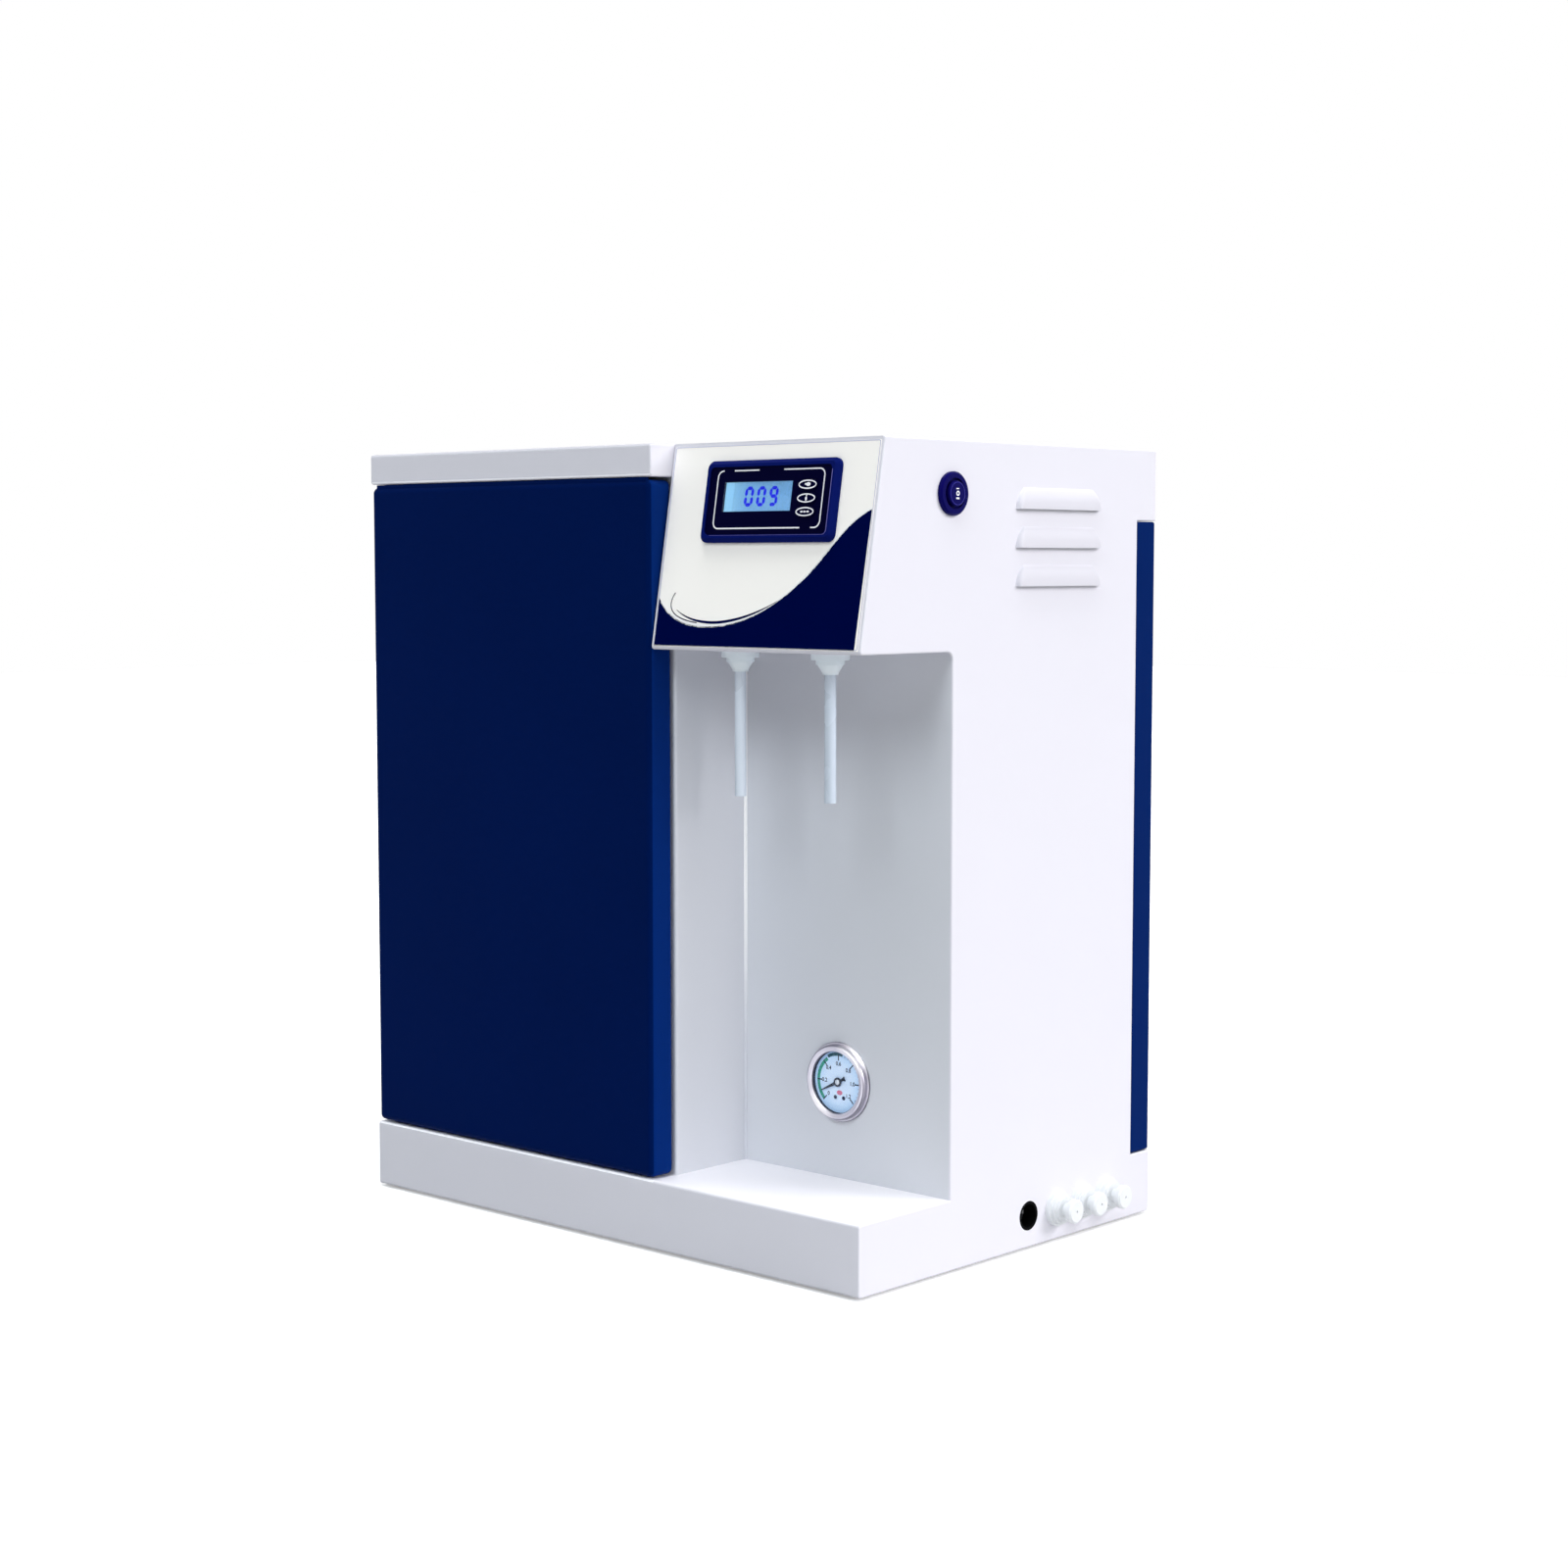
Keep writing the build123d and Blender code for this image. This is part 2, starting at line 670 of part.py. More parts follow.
def make_rear_bulkhead():
    """Inner rear wall that carries the rear cover."""
    low = cover_z0 - rear_gap - half_sheet
    high = cover_z1 + rear_gap + half_sheet
    mid = y_bulkhead - half_sheet
    points = [(y_rear - sheet, high), (mid, high), (mid, low), (y_rear - sheet, low)]
    wall = folded(Plane.YZ.offset(x_inner_left), points, x_inner_right - x_inner_left)
    for x, z in rear_screws:
        wall -= rod((x, y_bulkhead + 1, z), front, screw_radius + screw_clearance, sheet + 2)
    return wall


def make_partition_panel():
    """Sheet that the filters and vessels hang on, with a fold that meets the niche's back wall."""
    fold_x = x_divide - sheet - half_sheet
    points = [(x_inner_left, y_partition + half_sheet), (fold_x, y_partition + half_sheet),
              (fold_x, y_niche + sheet)]
    panel = folded(Plane.XY.offset(z_pan), points, z_top - sheet - z_pan)
    for x in (manifold_in_x, manifold_out_x):
        panel -= rod((x, y_partition - 1, manifold_z), rear, spout_radius + clip_gap, sheet + 2)
    return panel


def make_rear_cover():
    """Moulded blue cover on the back, with a boss for each screw."""
    shell = block(cover_x0, cover_x1, y_bulkhead, y_rear, cover_z0, cover_z1)
    back = shell.faces().sort_by(Axis.Y)[-1].edges()
    uprights = shell.edges().filter_by(Axis.Y)
    shell = fillet(back + uprights, rear_cover_round)
    wall = rear_cover_wall
    shell -= block(cover_x0 + wall, cover_x1 - wall, y_bulkhead - 1, y_rear - wall,
                   cover_z0 + wall, cover_z1 - wall)
    for x, z in rear_screws:
        shell += rod((x, y_bulkhead, z), rear, rear_boss_radius, rear_cover_depth - wall / 2)
    for x, z in rear_screws:
        shell -= rod((x, y_bulkhead - 1, z), rear, screw_radius + screw_clearance, rear_cover_depth + 2)
        pocket = screw_head_radius + 2 * screw_clearance
        shell -= rod((x, y_rear - screw_sink, z), rear, pocket, screw_sink + 1)
    return shell


def make_rear_cover_screws():
    """Four slotted screws that hold the rear cover."""
    seat = y_rear - screw_sink
    screws = []
    for x, z in rear_screws:
        head = rod((x, seat, z), rear, screw_head_radius, screw_head_height)
        head = fillet(head.edges().sort_by(Axis.Y)[-1], slot_width / 2)
        slot_floor = seat + screw_head_height - slot_depth
        head -= block(x - screw_head_radius, x + screw_head_radius, slot_floor, y_rear,
                      z - slot_width / 2, z + slot_width / 2)
        shank = rod((x, seat, z), front, screw_radius, seat - y_bulkhead + sheet + screw_bite)
        screws.append(head + shank)
    return Compound(children=screws)


def make_rubber_feet():
    """Four push-in feet."""
    solids = []
    for x, y in feet:
        outline = [(0, 0), (foot_radius - 0.8, 0), (foot_radius, 0.8), (foot_radius, foot_show),
                   (foot_stem_radius, foot_show), (foot_stem_radius, foot_show + sheet),
                   (foot_button_radius, foot_show + sheet),
                   (foot_stem_radius, foot_show + sheet + foot_button_height),
                   (0, foot_show + sheet + foot_button_height)]
        solids.append(turned((x, y, 0), up, outline))
    return Compound(children=solids)


# Door

def make_front_door():
    """Moulded blue door: a hollow shell with a closed rim, two hinge bosses and a rib under the cap."""
    shell = block(door_x0, door_x1, y_front, y_door_back, door_z0, door_z1)
    shell = fillet(shell.edges(), door_round)
    wall = door_wall
    hollow = block(door_x0 + wall, door_x1 - wall, y_front + wall, y_door_back - wall,
                   door_z0 + wall, door_z1 - wall)
    shell -= fillet(hollow.edges(), door_round - wall)
    rim = door_rim
    shell -= block(door_x0 + rim, door_x1 - rim, y_front + 2 * wall, y_door_back + 1,
                   door_z0 + rim, door_z1 - rim)
    lap = rim - door_plate_lap
    shell -= block(door_x0 + lap, door_x1 - lap, y_door_back - door_plate_thickness, y_door_back + 1,
                   door_z0 + lap, door_z1 - lap)
    for z, direction in ((door_z0, up), (door_z1, down)):
        boss = rod((pin_x, pin_y, z), direction, hinge_boss_radius, pin_depth + hinge_boss_wall)
        shell += boss
        outside = shifted((pin_x, pin_y, z), direction, -1)
        shell -= rod(outside, direction, pin_radius + pin_clearance, pin_depth + 1)
    rib_y = y_front + door_rib_set_back
    return shell + block(door_x0 + door_rib_end, door_x1 - door_rib_end, rib_y, rib_y + door_rib_depth,
                         door_z1 - door_rib_root, z_cap - door_rib_gap)


def make_door_backing_plate():
    """Steel plate that closes the back of the door and meets the magnets."""
    inset = door_rim - door_plate_lap + door_plate_clearance
    return block(door_x0 + inset, door_x1 - inset, y_door_back - door_plate_thickness, y_door_back,
                 door_z0 + inset, door_z1 - inset)


def make_door_hinge_pins():
    """Upper pin through the cap and lower pin through the deck, whose collar carries the door."""
    reach = pin_depth - hinge_boss_wall
    upper = rod((pin_x, pin_y, z_cap + sheet), up, pin_head_radius, pin_head_height)
    upper += rod((pin_x, pin_y, z_cap + sheet), down, pin_radius, sheet + door_gap_top + reach)
    lower = rod((pin_x, pin_y, z_deck - sheet), down, pin_head_radius, pin_head_height)
    lower += rod((pin_x, pin_y, z_deck - sheet), up, pin_radius, sheet + door_gap_bottom + reach)
    lower += rod((pin_x, pin_y, z_deck), up, pin_head_radius, door_gap_bottom)
    return Compound(children=[upper, lower])


def make_door_catch_magnets():
    """Two magnets on the door frame."""
    x0 = x_divide - magnet_inset - magnet_width
    magnets = []
    for z in (z_deck + magnet_end_inset, z_cap - magnet_end_inset):
        magnets.append(block(x0, x0 + magnet_width, y_door_back + magnet_air_gap, y_frame,
                             z - magnet_length / 2, z + magnet_length / 2))
    return Compound(children=magnets)


# Sloping face and controller

def make_face_overlay():
    """Printed film on the sloping face."""
    width = x_right - x_divide - 2 * overlay_border
    height = face_length - 2 * overlay_border
    plane = on_face((x_divide + x_right) / 2, face_length / 2, 0)
    film = extrude(plane * Rectangle(width, height), overlay_thickness)
    return film - extrude(on_controller(0, 0, -1) * controller_cut_out(), overlay_thickness + 2)


def make_controller_bezel():
    """Raised frame with a pocket for the fascia and a sleeve through the sloping face."""
    outline = RectangleRounded(bezel_width, bezel_height, bezel_corner)
    frame = extrude(on_controller(0, 0, bezel_back) * outline, bezel_stand)
    top = frame.faces().sort_by(lambda f: Vector(*face_normal).dot(f.center()))[-1]
    frame = chamfer(top.edges(), bezel_slope)
    frame += extrude(on_controller(0, 0, bezel_back) * Rectangle(sleeve_outer_width, sleeve_outer_height),
                     -sleeve_depth)
    pocket = RectangleRounded(pocket_width, pocket_height, pocket_corner)
    frame -= extrude(on_controller(0, 0, fascia_back) * pocket, bezel_stand)
    bore = Rectangle(pocket_width - 2 * ledge, pocket_height - 2 * ledge)
    return frame - extrude(on_controller(0, 0, bezel_front) * bore, -(bezel_stand + sleeve_depth + 1))


def make_controller_fascia():
    """Dark plate with openings for the window and the keys."""
    gap = 2 * pocket_clearance
    outline = RectangleRounded(pocket_width - gap, pocket_height - gap, pocket_corner - pocket_clearance)
    plate = extrude(on_controller(0, 0, fascia_back) * outline, fascia_thickness)
    opening = Rectangle(window_width + 2 * window_clearance, window_height + 2 * window_clearance)
    plate -= extrude(on_controller(*window_offset, fascia_back - 1) * opening, fascia_thickness + 2)
    for i in range(len(key_names)):
        plane = on_controller(key_offset[0], key_offset[1] + key_pitch * (i - 1), fascia_back - 1)
        plate -= stadium(key_width + 2 * key_clearance, key_height + 2 * key_clearance,
                         fascia_thickness + 2, plane)
    return plate


def make_controller_window():
    """Clear pane in front of the screen, flush with the fascia."""
    pane = Rectangle(window_width, window_height)
    return extrude(on_controller(*window_offset, fascia_front) * pane, -fascia_thickness)


def make_lcd_module():
    """Liquid crystal screen with its backlight, between the fascia and the board."""
    glass = Rectangle(screen_width, screen_height)
    return extrude(on_controller(*window_offset, fascia_back) * glass, -board_depth)


def key_stem_end():
    """Lower end of a key's stem, off the sloping face."""
    return board_front + key_switch_height + key_travel + key_switch_play


def make_key(index):
    """Oval key: a cap, a collar that holds it behind the fascia, and a stem."""
    place = (key_offset[0], key_offset[1] + key_pitch * (index - 1))
    cap_top = fascia_front + key_proud
    collar_top = fascia_back - key_collar_gap
    collar_low = collar_top - key_collar_thickness
    key = stadium(key_width, key_height, -(cap_top - collar_low), on_controller(*place, cap_top))
    rounded = key.faces().sort_by(lambda f: Vector(*face_normal).dot(f.center()))[-1]
    key = fillet(rounded.edges(), key_proud / 2)
    key += stadium(key_collar_width, key_collar_height, -key_collar_thickness,
                   on_controller(*place, collar_top))
    stem = Circle(key_stem_radius)
    return key + extrude(on_controller(*place, collar_top) * stem, key_stem_end() - collar_top)


def make_control_board():
    """Circuit board with a small switch under each key and its connectors behind."""
    width = pocket_width - 2 * ledge - 2 * board_margin
    height = pocket_height - 2 * ledge - 2 * board_margin
    board = extrude(on_controller(0, 0, board_front) * Rectangle(width, height), -board_thickness)
    for i in range(len(key_names)):
        place = (key_offset[0], key_offset[1] + key_pitch * (i - 1))
        body = Rectangle(key_switch_size, key_switch_size)
        board += extrude(on_controller(*place, board_front) * body, key_switch_height)
    relay = Rectangle(2 * key_switch_size, 3 * key_switch_size)
    for dx in (-width / 4, 0, width / 4):
        board += extrude(on_controller(dx, 0, board_front - board_thickness) * relay, -2 * key_switch_size)
    return board


def make_controller_case():
    """Rear half of the controller, open towards the bezel."""
    top = bezel_back - sleeve_depth
    case = extrude(on_controller(0, 0, top) * Rectangle(sleeve_outer_width, sleeve_outer_height), -case_depth)
    inside = Rectangle(sleeve_outer_width - 2 * case_wall, sleeve_outer_height - 2 * case_wall)
    return case - extrude(on_controller(0, 0, top + 1) * inside, -(case_depth - case_wall + 1))


# Power switch

def make_power_switch_body():
    """Round flange, barrel through the panel, and two terminals."""
    bore = switch_button_radius + switch_button_clearance
    groove = switch_flange_height - switch_groove_depth
    outline = [(bore, groove), (switch_groove_radius, groove),
               (switch_groove_radius, switch_flange_height), (switch_flange_radius - 1, switch_flange_height),
               (switch_flange_radius, switch_flange_height - 1), (switch_flange_radius, 0),
               (switch_barrel_radius, 0), (switch_barrel_radius, -switch_barrel_length),
               (0, -switch_barrel_length), (0, switch_floor - switch_barrel_length),
               (bore, switch_floor - switch_barrel_length)]
    body = turned(switch_centre, right, outline)
    x_end = x_right - switch_barrel_length
    for side in (-1, 1):
        y = switch_centre[1] + side * switch_tab_pitch / 2
        body += block(x_end - switch_tab_length, x_end + 1, y - switch_tab_thickness / 2,
                      y + switch_tab_thickness / 2, switch_centre[2] - switch_tab_width / 2,
                      switch_centre[2] + switch_tab_width / 2)
    return body


def make_power_switch_button():
    """Round button, slightly rounded at its edge."""
    start = shifted(switch_centre, right, switch_button_proud)
    button = rod(start, left, switch_button_radius, switch_button_length)
    return fillet(button.edges().sort_by(Axis.X)[-1], 0.8)


def make_power_switch_nut():
    """Nut that clamps the switch behind the panel."""
    start = shifted(switch_centre, left, sheet)
    return nut(start, left, switch_nut_flats, switch_nut_height, switch_barrel_radius + thread_clearance)


# Cable inlet and ports

def make_cable_bushing():
    """Black bushing, flush with the outside of the panel."""
    bore = cable_hole_radius - cable_bush_wall
    flange = -sheet - cable_bush_flange_height
    outline = [(bore, 0), (cable_hole_radius, 0), (cable_hole_radius, -sheet),
               (cable_bush_flange_radius, -sheet), (cable_bush_flange_radius, flange),
               (cable_hole_radius, flange), (cable_hole_radius, -cable_bush_length),
               (bore, -cable_bush_length)]
    return turned(cable_centre, right, outline)


def stepped(rings):
    """Outline points of stepped rings, from the widest out."""
    points = []
    height = 0.0
    for radius, step in rings:
        points += [(radius, height), (radius, height + step)]
        height += step
    return points


def make_port_fittings():
    """Three bulkhead fittings through the panel."""
    solids = []
    for y in port_y:
        outline = [(0, -barrel_length), (barrel_radius, -barrel_length), (barrel_radius, 0)]
        outline += stepped(port_rings) + [(0, port_stack)]
        centre = (x_right, y, port_z)
        body = turned(centre, right, outline)
        body -= rod(shifted(centre, right, port_stack + 1), left, port_bore_radius, port_bore_depth + 1)
        body -= rod(shifted(centre, left, barrel_length + 1), right, tube_radius + tube_fit, tube_seat + 1)
        body -= rod(shifted(centre, left, barrel_length - tube_seat + 1), right, tube_radius - tube_wall,
                    barrel_length)
        solids.append(body)
    return Compound(children=solids)


def make_port_plug(y):
    """Blanking plug that is pulled out before a tube is fitted."""
    stem = port_bore_radius - plug_clearance
    end = port_stack + plug_neck_height + plug_disc_height
    disc = port_stack + plug_neck_height
    outline = [(0, port_stack - plug_stem_length), (stem, port_stack - plug_stem_length), (stem, port_stack),
               (plug_neck_radius, port_stack), (plug_neck_radius, disc), (plug_disc_radius, disc),
               (plug_disc_radius, end - 1), (plug_disc_radius - 1, end),
               (plug_dimple_radius, end), (plug_dimple_radius, end - plug_dimple_depth),
               (0, end - plug_dimple_depth)]
    return turned((x_right, y, port_z), right, outline)


def make_bulkhead_nuts():
    """Nuts of the three ports and of the two nozzles, all the same."""
    bore = barrel_radius + thread_clearance
    nuts = [nut((x_inner_right, y, port_z), left, barrel_nut_flats, barrel_nut_height, bore) for y in port_y]
    nuts += [nut((x, nozzle_y, z_head + sheet), up, barrel_nut_flats, barrel_nut_height, bore)
             for x in nozzle_x]
    return Compound(children=nuts)


# Dispensing nozzles

def make_nozzle_collar(x):
    """Stepped collar and funnel under the ceiling, with a barrel into the head."""
    foot = nozzle_stack + nozzle_cone_height
    outline = [(0, -nozzle_barrel_length - sheet), (barrel_radius, -nozzle_barrel_length - sheet),
               (barrel_radius, 0)]
    outline += stepped(nozzle_rings)
    outline += [(nozzle_rings[-1][0] - 0.8, nozzle_stack), (nozzle_cone_radius, foot - 1),
                (nozzle_cone_radius, foot), (0, foot)]
    centre = (x, nozzle_y, z_head)
    collar = turned(centre, down, outline)
    low = z_head - foot
    collar -= rod((x, nozzle_y, low - 1), up, nozzle_spigot_radius + nozzle_fit, foot + 1 + nozzle_seat)
    top = z_head + sheet + nozzle_barrel_length
    collar -= rod((x, nozzle_y, z_head - 1), up, nozzle_tube_bore, top - z_head + 2)
    return collar - rod((x, nozzle_y, top - tube_seat), up, tube_radius + tube_fit, tube_seat + 1)


def make_nozzle_tube(x):
    """Clear tube whose thinner end is pushed into the collar until its shoulder meets the funnel."""
    low = z_head - nozzle_drop
    length = nozzle_drop + nozzle_seat
    outer = rod((x, nozzle_y, low), up, nozzle_spigot_radius, length)
    outer += rod((x, nozzle_y, low), up, nozzle_tube_radius, nozzle_drop - nozzle_stack - nozzle_cone_height)
    return outer - rod((x, nozzle_y, low - 1), up, nozzle_tube_bore, length + 2)


# Pressure gauge: heights are measured from the niche's back wall towards the front

gauge_origin = (gauge_x, y_niche, gauge_z)
dial_front = gauge_case_front - gauge_dial_depth
dial_back = dial_front - gauge_dial_thickness
works_front = dial_back - gauge_works_gap
case_floor = gauge_wall - gauge_case_back


def make_gauge_case():
    """Steel case with its flange on the wall and a threaded stem behind."""
    upper = gauge_dial_radius + gauge_dial_fit
    lower = gauge_dial_radius - gauge_dial_ledge
    outline = [(0, -gauge_case_back), (gauge_back_radius, -gauge_case_back), (gauge_back_radius, 0),
               (gauge_flange_radius, 0), (gauge_flange_radius, gauge_flange_height - 0.6),
               (gauge_flange_radius - 0.6, gauge_flange_height), (gauge_case_radius, gauge_flange_height),
               (gauge_case_radius, gauge_case_front), (upper, gauge_case_front), (upper, dial_back),
               (lower, dial_back), (lower, case_floor), (0, case_floor)]
    case = turned(gauge_origin, front, outline)
    behind = shifted(gauge_origin, rear, gauge_case_back)
    case += rod(behind, rear, gauge_stem_radius, gauge_stem_length)
    mouth = shifted(behind, rear, gauge_stem_length - tube_seat)
    return case - rod(mouth, rear, tube_radius + tube_fit, tube_seat + 1)


def make_gauge_bezel():
    """Polished ring that holds the lens on the case."""
    inside = gauge_case_radius + gauge_bezel_fit
    lens_top = gauge_case_front + gauge_lens_thickness
    top = lens_top + gauge_bezel_top
    outline = [(inside, gauge_flange_height), (gauge_bezel_radius, gauge_flange_height),
               (gauge_bezel_radius, top - 1.6), (gauge_bezel_radius - 0.5, top - 0.5),
               (gauge_bezel_radius - 1.5, top), (gauge_bezel_lip + 0.7, top - 0.3),
               (gauge_bezel_lip, lens_top), (inside, lens_top)]
    return turned(gauge_origin, front, outline)


def make_gauge_lens():
    """Clear disc on the rim of the case."""
    return rod(shifted(gauge_origin, front, gauge_case_front), front, gauge_lens_radius, gauge_lens_thickness)


def make_gauge_dial():
    """Dial plate on its ledge."""
    plate = rod(shifted(gauge_origin, front, dial_back), front, gauge_dial_radius, gauge_dial_thickness)
    bore = gauge_shaft_radius + gauge_hole_clearance
    return plate - rod(shifted(gauge_origin, front, dial_back - 1), front, bore, gauge_dial_thickness + 2)


def make_gauge_pointer():
    """Pointer with a ring hub and a broad tail, on its spindle."""
    low = dial_front + gauge_pointer_gap
    plane = Plane(origin=shifted(gauge_origin, front, low), x_dir=right, z_dir=front)
    blade = [(-gauge_pointer_tail, gauge_pointer_root), (-gauge_pointer_tail * 0.7, gauge_pointer_tip * 3),
             (0, gauge_pointer_root * 0.8), (gauge_pointer_length, gauge_pointer_tip),
             (gauge_pointer_length, -gauge_pointer_tip), (0, -gauge_pointer_root * 0.8),
             (-gauge_pointer_tail * 0.7, -gauge_pointer_tip * 3), (-gauge_pointer_tail, -gauge_pointer_root)]
    outline = make_face(Polyline(*blade, close=True))
    flat = outline + Circle(gauge_hub_radius)
    angle = gauge_scale_zero - gauge_reading
    pointer = extrude(plane * (Rot(0, 0, angle) * flat), gauge_pointer_thickness)
    spindle_top = shifted(gauge_origin, front, low + gauge_pointer_thickness)
    spindle_length = gauge_pointer_thickness + gauge_pointer_gap + gauge_dial_thickness + gauge_shaft_depth
    return pointer + rod(spindle_top, rear, gauge_shaft_radius, spindle_length)


def make_gauge_movement():
    """Works behind the dial: a block that guides the spindle, and the curved pressure tube."""
    half = gauge_works_width / 2
    y_far = y_niche - case_floor
    y_near = y_niche - works_front
    works = block(gauge_x - half, gauge_x + half, y_near, y_far, gauge_z - half, gauge_z + half)
    coil_y = y_far - 2 * gauge_coil_tube
    plane = Plane(origin=(gauge_x, coil_y, gauge_z), x_dir=right, z_dir=front)
    path = plane * CenterArc((0, 0), gauge_coil_radius, -90, gauge_coil_sweep)
    works += sweep(Plane(origin=path @ 0, z_dir=path % 0) * Circle(gauge_coil_tube), path)
    works += rod((gauge_x, coil_y, gauge_z), down, gauge_coil_tube, gauge_coil_radius)
    return works - rod((gauge_x, y_near - 1, gauge_z), rear, gauge_shaft_radius + gauge_shaft_fit,
                       gauge_shaft_depth + 1)


def make_gauge_clamp():
    """U-shaped strap that pulls the gauge against the wall from behind."""
    inside = y_niche + gauge_case_back
    reach = gauge_clamp_reach
    thick = gauge_clamp_thickness
    strap = block(gauge_x - reach, gauge_x + reach, y_niche + sheet, inside + thick,
                  gauge_z - gauge_clamp_width / 2, gauge_z + gauge_clamp_width / 2)
    strap -= block(gauge_x - reach + thick, gauge_x + reach - thick, y_niche, inside,
                   gauge_z - gauge_clamp_width, gauge_z + gauge_clamp_width)
    bore = gauge_stem_radius + gauge_hole_clearance
    return strap - rod((gauge_x, inside - 1, gauge_z), rear, bore, thick + 2)


# Filters and vessels

bay_middle = (x_inner_left + x_divide - sheet) / 2
filter_y = y_partition - filter_from_partition
filter_seat = z_top - filter_below_top
filter_x = [bay_middle + filter_pitch * (i - 1) for i in range(len(filter_names))]
manifold_z = filter_seat + manifold_height / 2
manifold_x0 = filter_x[0] - socket_radius - manifold_end
manifold_x1 = filter_x[-1] + socket_radius + manifold_end
manifold_out_x = manifold_x0 + spout_radius + manifold_end
manifold_in_x = manifold_x1 - spout_radius - manifold_end
vessel_y = y_partition + sheet + vessel_stand_off + vessel_cap_radius
vessel_z0 = z_pan + vessel_from_floor
vessel_z1 = vessel_z0 + vessel_length
membrane_x = x_inner_left + membrane_from_left
polisher_x = x_inner_left + polisher_from_left


def make_filter_manifold():
    """Moulded head block with a socket for each filter and a spout at each end."""
    head = block(manifold_x0, manifold_x1, filter_y - socket_radius, y_partition,
                 filter_seat + filter_neck_length, filter_seat + manifold_height)
    for x in filter_x:
        head += rod((x, filter_y, filter_seat), up, socket_radius, filter_neck_length + 1)
    for x in filter_x:
        head -= rod((x, filter_y, filter_seat - 1), up, filter_neck_radius + socket_clearance,
                    filter_neck_length + 1)
    for x in (manifold_in_x, manifold_out_x):
        head += spout((x, y_partition, manifold_z), rear)
    return head


def make_filter(x):
    """Sealed filter cartridge that hangs from its socket."""
    low = filter_seat - filter_collar_height - filter_shoulder - filter_length
    outline = [(0, 0), (filter_radius - filter_dome, 0), (filter_radius, filter_dome),
               (filter_radius, filter_length), (filter_collar_radius, filter_length + filter_shoulder),
               (filter_collar_radius, filter_length + filter_shoulder + filter_collar_height),
               (filter_neck_radius, filter_length + filter_shoulder + filter_collar_height),
               (filter_neck_radius, filter_seat - low + filter_neck_length - socket_clearance),
               (0, filter_seat - low + filter_neck_length - socket_clearance)]
    return turned((x, filter_y, low), up, outline)


def make_vessel(x, side_ports):
    """Upright pressure vessel with a cap and a spout at each end, and one side spout."""
    outline = [(0, 0), (vessel_cap_radius, 0), (vessel_cap_radius, vessel_cap_height),
               (vessel_radius, vessel_cap_height), (vessel_radius, vessel_length - vessel_cap_height),
               (vessel_cap_radius, vessel_length - vessel_cap_height), (vessel_cap_radius, vessel_length),
               (0, vessel_length)]
    vessel = turned((x, vessel_y, vessel_z0), up, outline)
    vessel += spout((x, vessel_y, vessel_z0), down)
    vessel += spout((x, vessel_y, vessel_z1), up)
    for z in side_ports:
        vessel += spout((x, vessel_y + vessel_cap_radius - 1, z), rear)
    return vessel


membrane_side_low = vessel_z0 + side_port_height
membrane_side_high = vessel_z1 - side_port_height


def make_vessel_clips():
    """Open clips on the partition that hold the two vessels."""
    clips = []
    inner = vessel_radius + clip_gap
    outer = inner + clip_thickness
    for x in (membrane_x, polisher_x):
        for height in clip_positions:
            z = vessel_z0 + height
            ring = rod((x, vessel_y, z), up, outer, clip_height)
            base = block(x - vessel_radius / 2, x + vessel_radius / 2, y_partition + sheet, vessel_y,
                         z, z + clip_height)
            clip = ring + base - rod((x, vessel_y, z - 1), up, inner, clip_height + 2)
            half = outer * math.tan(math.radians(clip_opening / 2))
            wedge = Polyline((x, vessel_y), (x + half, vessel_y + outer + 1),
                             (x - half, vessel_y + outer + 1), close=True)
            clips.append(clip - extrude(make_face(Plane.XY.offset(z - 1) * wedge), clip_height + 2))
    return Compound(children=clips)


# Pump, transformer, valves and cell

pump_x0 = x_inner_left + pump_from_left
pump_x1 = pump_x0 + pump_head_length
pump_y = y_bulkhead - sheet - pump_from_rear_bulkhead
pump_z = z_pan + pump_axis_height
pump_top = pump_z + pump_head_size / 2
pump_ports = [pump_x0 + pump_head_length / 2 + side * pump_port_pitch / 2 for side in (-1, 1)]


def make_pump_head():
    """Diaphragm pump head with its two spouts on top."""
    half = pump_head_size / 2
    head = block(pump_x0, pump_x1, pump_y - half, pump_y + half, pump_z - half, pump_z + half)
    head = fillet(head.edges().filter_by(Axis.X), pump_head_round)
    for x in pump_ports:
        head += spout((x, pump_y, pump_top), up)
    return head


def make_pump_motor():
    """Pump motor on its cradle."""
    motor = rod((pump_x1, pump_y, pump_z), right, pump_motor_radius, pump_motor_length)
    motor = fillet(motor.edges().sort_by(Axis.X)[-1], pump_motor_round)
    half = pump_cradle_width / 2
    motor_end = pump_x1 + pump_motor_length
    motor += block(pump_x1 + pump_cradle_inset, motor_end - pump_cradle_inset, pump_y - half, pump_y + half,
                   z_pan, z_pan + pump_cradle_thickness)
    rib = pump_rib_width / 2
    for x in (pump_x1 + pump_rib_inset, motor_end - pump_rib_inset - pump_cradle_thickness):
        motor += block(x, x + pump_cradle_thickness, pump_y - rib, pump_y + rib, z_pan,
                       pump_z - pump_motor_radius / 2)
    return motor


